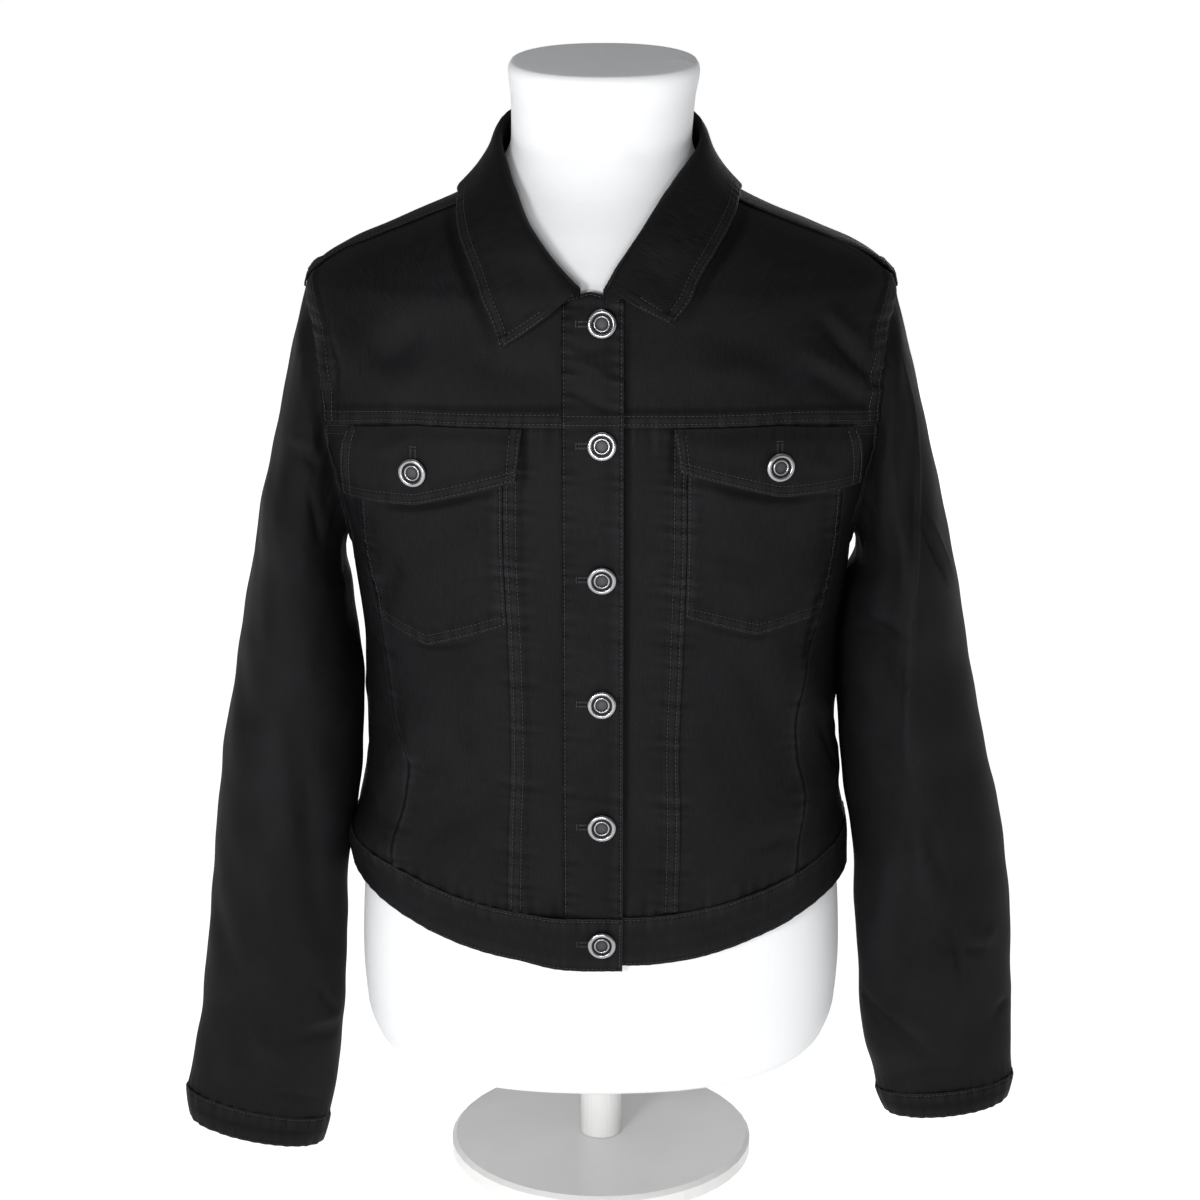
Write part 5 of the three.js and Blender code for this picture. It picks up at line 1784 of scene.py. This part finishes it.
class JACKET_OT_collar(bpy.types.Operator):
    """The collar: it stands at the neck, rolls over and falls to its edge"""

    bl_idname = "jacket.collar"
    bl_label = "Collar"

    def execute(self, context):
        settings = denim_settings()
        table = Table([(index, *row) for index, row in enumerate(COLLAR)])
        last = len(COLLAR) - 1
        ends = np.array(FREE_LINES)
        around = COLLAR_LENGTH
        middle = np.linspace(COLLAR_END, around - COLLAR_END, 170)
        places_round = np.concatenate([ends, middle, around - ends[::-1]]) / around
        row = table(places_round * last)
        roll_turn, roll_z, roll_lift, edge_turn, edge_z = row.T
        seam_z = seam_below(roll_turn)[:, 1] + COLLAR_ABOVE_SEAM
        foot = np.stack([roll_turn, seam_z, np.full_like(roll_turn, 0.6)])
        roll = np.stack([roll_turn, roll_z, roll_lift])
        edge = np.stack([edge_turn, edge_z, np.full_like(edge_turn, COLLAR_EDGE_LIFT)])
        rolled = np.stack([mix(roll_turn, edge_turn, 0.08), mix(roll_z, edge_z, 0.06), roll_lift + 5])

        def at(a, b, t, bow=0.0):
            turn, z, lift = mix(a, b, t)
            return surface(turn, z, lift + bow * math.sin(math.pi * t))

        points = np.array([
            at(foot, roll, 0),
            at(foot, roll, 0.5),
            at(foot, roll, 0.93),
            surface(rolled[0], roll_z + 1, roll_lift + 2.5),
            at(rolled, edge, 0),
            at(rolled, edge, 0.3, COLLAR_BOW),
            at(rolled, edge, 0.65, COLLAR_BOW),
            at(rolled, edge, 1),
        ])
        length = float(np.linalg.norm(np.diff(points, axis=0), axis=-1).sum(axis=0).mean())
        inner = np.linspace(0, length - 12, 34)
        fractions = np.concatenate([inner, length - ends[::-1]]) / length
        base = resampled(points, fractions)
        lengths = np.linalg.norm(np.diff(points, axis=0), axis=-1).sum(axis=0)
        u, v = np.meshgrid(places_round * around, fractions)
        down = (1 - v) * lengths[None, :]
        apart = {"start": u, "end": around - u, "bottom": v * lengths[None, :], "top": down}
        normal = grid_normals(base)
        outward = -1 if (normal[-4, 90] @ (base[-4, 90] * (1, 1, 0))) < 0 else 1
        normal = normal * outward
        rise = np.zeros(u.shape)
        nearest = np.minimum(np.minimum(apart["start"], apart["end"]), down)
        fall = smooth_step(0.45, 0.6, v)
        for row_place in SEAM_ROWS:
            rise = rise - 0.3 * hump(nearest, 0.8, row_place) * fall
        rise = rise - 0.6 * hump(nearest, 0.6) * fall
        wave = ripple(u, 83, 9)
        rise = rise + settings.pucker / MM * 0.7 * wave * hump(down, 9) * fall
        rise = rise + unevenness(base, 89, 0.5) * fall
        rise = rise + crease_rise(base, COLLAR_CREASES)
        cloth = Cloth("collar", base + normal * rise[..., None], apart, (around, float(lengths.max())))
        cloth.normals = cloth.normals * outward
        for inset in SEAM_ROWS:
            cloth.sew("top", inset, (inset, inset))
            for side_edge in ("start", "end"):
                cloth.sew(side_edge, inset, (length * 0.5, inset))
        uv = np.stack([u, down], axis=-1)
        wear_and_painted_shade = edge_wear_and_shade(apart, ("free", "free", "plain", "free"), wave * 0.3) * fall
        if outward < 0:
            cloth.points, uv, wear_and_painted_shade = cloth.points[:, ::-1], uv[:, ::-1], wear_and_painted_shade[:, ::-1]
        build_cloth(cloth, uv, wear_and_painted_shade, settings.band_thickness)
        return {"FINISHED"}


def sleeve_points(section, side, angles, rise):
    """One ring of a sleeve: angle 0 is the outer side, 90 the front."""
    out_x, out_z, in_x, in_z, front, back, y = section
    outer, inner = np.array([side * out_x, y, out_z]), np.array([side * in_x, y, in_z])
    centre, half = (outer + inner) / 2, (outer - inner) / 2
    s, c = np.sin(np.radians(angles)), np.cos(np.radians(angles))
    arm = half * c[:, None]
    arm[:, 1] -= np.where(s > 0, front, back) * s
    length = np.linalg.norm(arm, axis=1)
    return centre + arm * ((length + rise) / length)[:, None]


def sleeve_fold_rise(folds, row, angles):
    total = np.zeros(len(angles))
    for fold_row, fold_angle, rows, wide, rise in folds:
        aside = (angles - fold_angle + 180) % 360 - 180
        total += rise * np.exp(-(((row - fold_row) / rows) ** 2) - (aside / wide) ** 2)
    return total


def sleeve_grid(name, side):
    """A sleeve's rings, from under the armhole's edge to the cuff, angle by angle."""
    angles = np.arange(-90, 271, 2.5)
    if side < 0:
        angles = angles[::-1]
    table = Table([(i + 1, *row) for i, row in enumerate(SLEEVES[name])])
    folds = SLEEVE_FOLDS[name]
    rings = []
    for out, lift in ARMHOLE_RINGS:
        place = armhole_place(angles, side)
        point = surface(place[:, 0], place[:, 1], lift)
        away = unit(np.stack([0 * angles, point[:, 1], point[:, 2] - ARMHOLE["z"]], axis=1))
        rings.append(point + away * out)
    count = len(SLEEVES[name])
    for row in np.linspace(1, count, (count - 1) * RINGS_A_ROW + 1):
        rise = sleeve_fold_rise(folds, row, angles)
        rings.append(sleeve_points(table(row), side, angles, rise))
    return angles, np.array(rings)


class JACKET_OT_sleeves(bpy.types.Operator):
    """Sleeves, open at the wrist, and their cuffs"""

    bl_idname = "jacket.sleeves"
    bl_label = "Sleeves and cuffs"

    def execute(self, context):
        for name, side in SIDES:
            angles, rings = sleeve_grid(name, side)
            self.add_sleeve(name, side, angles, rings)
            self.add_cuff(name, side, angles)
        return {"FINISHED"}

    def add_sleeve(self, name, side, angles, rings):
        settings = denim_settings()
        lengths = np.linalg.norm(np.diff(rings, axis=0), axis=-1).sum(axis=0)
        fractions = np.concatenate([np.linspace(0, 0.08, 18)[:-1], np.linspace(0.08, 1, 170)])
        base = resampled(rings, fractions)
        base[:, -1] = base[:, 0]
        normal = closed_normals(base)
        u = keys_along(base[40])
        around, share = np.meshgrid(u, fractions)
        down = share * lengths[None, :]
        angle = np.broadcast_to(angles, around.shape)
        wave = ripple(angle * 1.3, 97, 9)
        fade = hump(np.maximum(down - 3, 0), 13)
        wide = ripple(angle * 1.3, 101, 24)
        rise = settings.pucker / MM * (wave * fade + 1.2 * wide * hump(down, 32))
        low = lengths[None, :] - down
        rise = rise + settings.pucker / MM * ripple(angle * 0.8, 103, 9) * hump(low, 10)
        rise = rise + unevenness(base, 107 + side, 0.7) * smooth_step(0, 30, down)
        creases = [
            (self.on_sleeve(rings, angles, run), wide_mm, height)
            for run, wide_mm, height in SLEEVE_CREASES[name]
        ]
        rise = rise + crease_rise(base, creases) * smooth_step(0, 12, down)
        rise[:, -1] = rise[:, 0]
        cloth = Cloth(
            f"sleeve_{name}", base + normal * rise[..., None],
            {"start": around, "end": u[-1] - around, "bottom": down, "top": low},
            (float(u[-1]), float(lengths.max())),
        )
        # Lighter where the cloth stands out in folds and on the crests of small waves
        wear_and_painted_shade = np.clip(np.clip(rise, 0, 4) * 0.12 + 0.1 * wave * fade, 0, 0.6)
        uv = np.stack([around, -down], axis=-1)
        if side > 0:
            uv[..., 0] *= -1
        self.build(cloth, uv, wear_and_painted_shade, settings.thickness)

    def on_sleeve(self, rings, angles, run):
        """Places (row, angle) on a sleeve as points; row 1 is the first below the armhole."""
        found = []
        for row, angle in run:
            ring = len(ARMHOLE_RINGS) + (row - 1) * RINGS_A_ROW
            low = int(np.clip(math.floor(ring), 0, len(rings) - 2))
            column = int(np.argmin(np.abs(angles - angle)))
            found.append(mix(rings[low, column], rings[low + 1, column], ring - low))
        return np.array(found)

    def build(self, cloth, uv, wear_and_painted_shade, thickness):
        outward = cloth.points - cloth.points.mean(axis=1, keepdims=True)
        if (grid_normals(cloth.points) * outward).sum() < 0:
            cloth.points, uv, wear_and_painted_shade = cloth.points[:, ::-1], uv[:, ::-1], wear_and_painted_shade[:, ::-1]
        build_cloth(cloth, uv, wear_and_painted_shade, thickness, closed=True)

    def add_cuff(self, name, side, angles):
        settings = denim_settings()
        last = SLEEVES[name][-1]
        folded = sleeve_fold_rise(SLEEVE_FOLDS[name], len(SLEEVES[name]), angles)
        raised = [value + more for value, more in zip(last, CUFF_TOP_MORE)]
        lower = [value + more for value, more in zip(CUFFS[name], CUFF_HEM_MORE)]
        top = sleeve_points(raised, side, angles, folded)
        bottom = sleeve_points(lower, side, angles, np.zeros(len(angles)))
        lengths = np.linalg.norm(bottom - top, axis=1)
        mean = float(lengths.mean())
        lines = (0, 0.5, 1.0, 1.7, 2.6, 4.2)
        v = spread([mean], lines, lines, 2.4)[0]
        base = mix(top[None], bottom[None], v[:, None, None])
        base[:, -1] = base[:, 0]
        normal = closed_normals(base)
        outward = np.sign((normal * (base - base.mean(axis=1, keepdims=True))).sum())
        normal = normal * outward
        u = keys_along(base[0])
        around, share = np.meshgrid(u, v)
        nearest = np.minimum(share, 1 - share) * mean
        wave = ripple(around, 109, 9) * hump(nearest, 8)
        belly = 0.9 * np.sin(share * math.pi)
        rise = belly - 0.5 * hump(nearest, 0.55) - 0.3 * hump(nearest, 0.8, 1.7)
        rise = rise + settings.pucker / MM * wave
        rise[:, -1] = rise[:, 0]
        apart = {"start": around, "end": u[-1] - around, "bottom": share * mean, "top": (1 - share) * mean}
        size = (float(u[-1]), float(lengths.max()))
        cloth = Cloth(f"cuff_{name}", base + normal * rise[..., None], apart, size)
        cloth.normals = cloth.normals * outward
        for edge in ("bottom", "top"):
            cloth.sew(edge, SEAM_ROWS[0], (0, 0))
        uv = np.stack([around, apart["top"]], axis=-1)
        wear_and_painted_shade = edge_wear_and_shade(apart, ("plain", "plain", "free", "free"), wave, ONE_ROW)
        self.build(cloth, uv, wear_and_painted_shade, settings.band_thickness)


def turned_shape(name, profile, segments):
    """A turned part, drawn as a circle that is extruded and scaled from step to step of its profile."""
    deselect()
    radius, height = profile[0][:2]
    bpy.ops.mesh.primitive_circle_add(vertices=segments, radius=radius * MM, location=(0, 0, height * MM))
    obj = bpy.context.object
    obj.name = name
    bpy.ops.object.transform_apply(location=True, rotation=False, scale=False)
    steps = []
    for before, after in zip(profile, profile[1:]):
        steps.append(lambda rise=after[1] - before[1]: bpy.ops.mesh.extrude_edges_move(
            TRANSFORM_OT_translate={"value": (0, 0, rise * MM)}))
        steps.append(lambda k=after[0] / before[0], z=after[1]: bpy.ops.transform.resize(
            value=(k, k, 1), center_override=(0, 0, z * MM)))
    steps.append(lambda: bpy.ops.mesh.select_all(action="SELECT"))
    steps.append(lambda: bpy.ops.mesh.fill_holes(sides=0))
    steps.append(lambda: bpy.ops.mesh.normals_make_consistent(inside=False))
    edit(obj, *steps)
    return obj


# Radius, height and how deep in shadow each step of a button lies, in millimetres
BUTTON_PROFILE = (
    (3.0, 0.0, 0), (6.0, 0.0, 0), (8.8, 0.8, 0), (9.5, 1.2, 0), (9.8, 1.8, 0), (9.75, 2.3, 0),
    (9.5, 2.8, 0), (9.0, 3.25, 0), (8.4, 3.5, 0), (7.8, 3.55, 0), (7.3, 3.4, 0), (6.95, 3.1, 0),
    (6.75, 2.6, 0.8), (6.6, 2.2, 1), (6.1, 2.1, 1), (5.6, 2.15, 1), (5.45, 2.5, 0.6), (5.2, 2.85, 0),
    (4.8, 2.95, 0), (4.4, 2.85, 0), (4.2, 2.55, 0.5), (4.0, 2.3, 1), (3.0, 2.3, 0.9), (1.5, 2.35, 0.85),
    (0.4, 2.4, 0.85),
)


class JACKET_OT_buttons(bpy.types.Operator):
    """Placket and flap buttons, and the buttonholes beside them"""

    bl_idname = "jacket.buttons"
    bl_label = "Buttons"

    def execute(self, context):
        scale = context.scene.jacket_metal.diameter / MM / 19.6
        profile = [(radius * scale, height, well) for radius, height, well in BUTTON_PROFILE]
        first = turned_shape("button", profile, 48)
        points = np.empty(len(first.data.vertices) * 3)
        first.data.vertices.foreach_get("co", points)
        points = points.reshape(-1, 3) / MM
        steps = np.array([(radius, height) for radius, height, _ in profile])
        reach = np.hypot(points[:, 0], points[:, 1])
        nearest = np.argmin((reach[:, None] - steps[:, 0]) ** 2 + (points[:, 2:] - steps[:, 1]) ** 2, axis=1)
        add_attribute(first, "well", np.array([well for _, _, well in profile])[nearest])
        smooth_shade(first, 50)
        for index, z in enumerate(BUTTON_HEIGHTS):
            lift = BAND_BUTTON_LIFT if index == len(BUTTON_HEIGHTS) - 1 else BUTTON_LIFT
            self.place(first, f"placket_button_{index + 1}", BUTTON_X, z, lift)
            self.buttonhole(f"placket_buttonhole_{index + 1}", BUTTON_X - BUTTONHOLE_AWAY, z, lift, 90)
        for name, (x, z) in FLAP_BUTTONS.items():
            self.place(first, f"flap_button_{name}", x, z, FLAP_BUTTON_LIFT)
            self.buttonhole(f"flap_buttonhole_{name}", x, z + BUTTONHOLE_AWAY, FLAP_BUTTON_LIFT - 0.05, 0)
        bpy.data.objects.remove(first)
        return {"FINISHED"}

    def place(self, first, node, x, z, lift):
        obj = first.copy()
        obj.data = first.data.copy()
        obj.name = f"{node}_metal"
        bpy.context.collection.objects.link(obj)
        turn = turn_of(x, z)
        foot, ahead = surface(turn, z, lift), surface(turn, z, lift + 10)
        facing = Vector(unit(ahead - foot))
        turn_it = Vector((0, 0, 1)).rotation_difference(facing).to_matrix().to_4x4()
        obj.data.transform(Matrix.Translation(Vector(foot * MM)) @ turn_it)
        finish_piece(obj, finish("metal"), "button_metal", node)

    def buttonhole(self, name, x, z, lift, heading):
        """A long eye bound with close stitches; heading 90 lies across, 0 stands up."""
        angles = np.linspace(0, 2 * math.pi, 90, endpoint=False)
        half, wide = BUTTONHOLE_HALF, BUTTONHOLE_WIDE
        along = np.clip(np.cos(angles) * (half + 1.0), -half + wide, half - wide)
        along = along + wide * np.cos(angles) * (np.abs(along) >= half - wide - 1e-9)
        aside = wide * np.clip(np.sin(angles) * 4, -1, 1)
        if heading:
            dx, dz, step_x, step_z = along, aside, 0 * aside, np.sign(aside)
        else:
            dx, dz, step_x, step_z = aside, along, np.sign(aside), 0 * aside

        def at(spread_out):
            px, pz = x + dx + step_x * spread_out, z + dz + step_z * spread_out
            return surface(turn_of(px, pz), pz, lift + 0.1)

        centres = at(0)
        ahead = at(0.5) - at(-0.5)
        out = unit(centres * (1, 1, 0))
        if "stitch" not in template:
            template["stitch"] = stitch_template()
        obj = copies(name, template["stitch"], centres, ahead, out, (1.7, 0.55, 0.7))
        finish_piece(obj, finish("thread"), "denim")


class JACKET_OT_form(bpy.types.Operator):
    """The dress form under its white jersey cover"""

    bl_idname = "jacket.form"
    bl_label = "Dress form"

    def execute(self, context):
        keys = np.array([row[0] for row in FORM], float)
        heights = np.concatenate([
            np.linspace(keys[0], keys[3], 14)[:-1], np.linspace(keys[3], 600, 90)[:-1],
            np.linspace(600, keys[-1], 80),
        ])
        turns = np.linspace(-180, 180, 161)
        turn, z = np.meshgrid(turns, heights)
        body = section_point(form_sections, turn, z)
        edges = np.array([0.02, 0.3, 0.6, 0.82, 0.93, 0.98])
        low = body[:1] * (1, 1, 0) * edges[:, None, None] + (0, 0, keys[0])
        low = low - np.array((0, 0, 1.5)) * (1 - edges[:, None, None] ** 4)
        shares = np.array([0.985, 0.95, 0.9, 0.82, 0.72, 0.6, 0.45, 0.3, 0.15, 0.01])
        cap = body[-1:] * (1, 1, 0) * shares[:, None, None]
        top = cap + (0, 0, keys[-1]) + np.array((0, 0, 1.2)) * np.linspace(0.1, 1, 10)[:, None, None] ** 0.5
        points = np.concatenate([low, body, top])
        share = np.clip((points[..., 2] - CAP_TILT_FROM_Z) / 50, 0, 1)
        points[..., 2] += CAP_TILT * share * points[..., 1]
        points[..., 0] += CAP_SHIFT * share
        normal = grid_normals(points)
        rise = crease_rise(points, FORM_CREASES)
        points = points + normal * rise[..., None]
        points[:, -1] = points[:, 0]
        points[0], points[-1] = points[0].mean(axis=0), points[-1].mean(axis=0)
        around = np.broadcast_to(np.radians(turns) * BODY_REACH, points.shape[:2])
        down = keys_along(points[:, 80])
        uv = np.stack([around, np.broadcast_to(down[:, None], points.shape[:2])], axis=-1)
        obj = grid_object("dress_form_cover", points, uv)
        # Painted shade for the cover: darker as deep as its creases sink in
        add_attribute(obj, "painted_crease_shade", np.clip(-rise / 1.2, 0, 1))
        edit(obj, lambda: bpy.ops.mesh.remove_doubles(threshold=1e-6),
             lambda: bpy.ops.mesh.normals_make_consistent(inside=False))
        smooth_shade(obj, 60)
        finish_piece(obj, finish("cover"), "form_cover", "dress_form")
        return {"FINISHED"}


class JACKET_OT_stand(bpy.types.Operator):
    """The stand keeps its frame's shape and gets its paint"""

    bl_idname = "jacket.stand"
    bl_label = "Stand"

    def execute(self, context):
        for node in ("stand_post", "stand_base"):
            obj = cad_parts[node]
            for slot in obj.material_slots:
                slot.material = finish("paint")
        return {"FINISHED"}


# Name, place, size and power of each light, all turned to one point
LIGHTS = (
    ("key", (-0.9, -1.9, 0.85), 0.45, 21),
    ("low", (0.0, -2.1, 0.55), 0.4, 13),
    ("top", (0.1, 0.2, 2.6), 1.2, 4),
    ("back", (0.8, 2.4, 0.7), 0.9, 7),
)
LIGHTS_MEET = (0, 0, 0.45)
WORLD_STRENGTH = 0.24
CAMERA_PLACE = (0, -2.22, 1.1)
CAMERA_SHIFT = -1 / 1200  # one pixel of the photo


class JACKET_OT_studio(bpy.types.Operator):
    """Floor, lights and camera"""

    bl_idname = "jacket.studio"
    bl_label = "Studio"

    def execute(self, context):
        studio = context.scene.jacket_studio
        deselect()
        bpy.ops.mesh.primitive_plane_add(size=60, location=(0, 0, 0))
        floor = context.object
        floor.name = "floor"
        floor.data.materials.append(finish("floor"))
        world = bpy.data.worlds.new("soft_white")
        world.use_nodes = True
        background = world.node_tree.nodes["Background"]
        background.inputs["Color"].default_value = (1, 1, 1, 1)
        background.inputs["Strength"].default_value = WORLD_STRENGTH
        context.scene.world = world
        for name, place, size, power in LIGHTS:
            deselect()
            bpy.ops.object.light_add(type="AREA", location=place)
            light = context.object
            light.name = name
            light.data.size, light.data.energy = size, power
            light.rotation_euler = (Vector(LIGHTS_MEET) - Vector(place)).to_track_quat("-Z", "Y").to_euler()
        deselect()
        bpy.ops.object.camera_add(location=CAMERA_PLACE, rotation=(math.pi / 2 - studio.pitch, 0, 0))
        camera = context.object
        camera.data.lens, camera.data.sensor_width = studio.lens, 36
        camera.data.shift_x = CAMERA_SHIFT
        camera.data.clip_end = 100
        context.scene.camera = camera
        context.scene.view_settings.view_transform = "Standard"
        return {"FINISHED"}


class JACKET_PT_build(bpy.types.Panel):
    """Lists the jacket's sizes, colours and building steps"""

    bl_idname = "JACKET_PT_build"
    bl_label = "Denim jacket"
    bl_space_type = "VIEW_3D"
    bl_region_type = "UI"
    bl_category = "Jacket"

    def draw(self, context):
        for name in ("jacket_denim", "jacket_metal", "jacket_form", "jacket_studio"):
            box = self.layout.box()
            group = getattr(context.scene, name)
            for key in group.bl_rna.properties.keys():
                if key not in ("rna_type", "name"):
                    box.prop(group, key)
        for step in STEPS:
            self.layout.operator(f"jacket.{step}")


STEPS = ("form", "stand", "fronts", "plackets", "pockets", "back", "waistband", "collar",
         "sleeves", "buttons", "studio")
GROUPS = {"jacket_denim": JacketDenim, "jacket_metal": JacketMetal, "jacket_form": JacketForm,
          "jacket_studio": JacketStudio}
CLASSES = (*GROUPS.values(), JACKET_OT_form, JACKET_OT_stand, JACKET_OT_fronts, JACKET_OT_plackets,
           JACKET_OT_pockets, JACKET_OT_back, JACKET_OT_waistband, JACKET_OT_collar,
           JACKET_OT_sleeves, JACKET_OT_buttons, JACKET_OT_studio, JACKET_PT_build)


def register():
    for cls in CLASSES:
        bpy.utils.register_class(cls)
    for name, group in GROUPS.items():
        setattr(bpy.types.Scene, name, bpy.props.PointerProperty(type=group))


def unregister():
    for name in GROUPS:
        delattr(bpy.types.Scene, name)
    for cls in reversed(CLASSES):
        bpy.utils.unregister_class(cls)


def main():
    register()
    for step in STEPS:
        getattr(bpy.ops.jacket, step)()
    deselect()


if __name__ == "__main__":
    main()
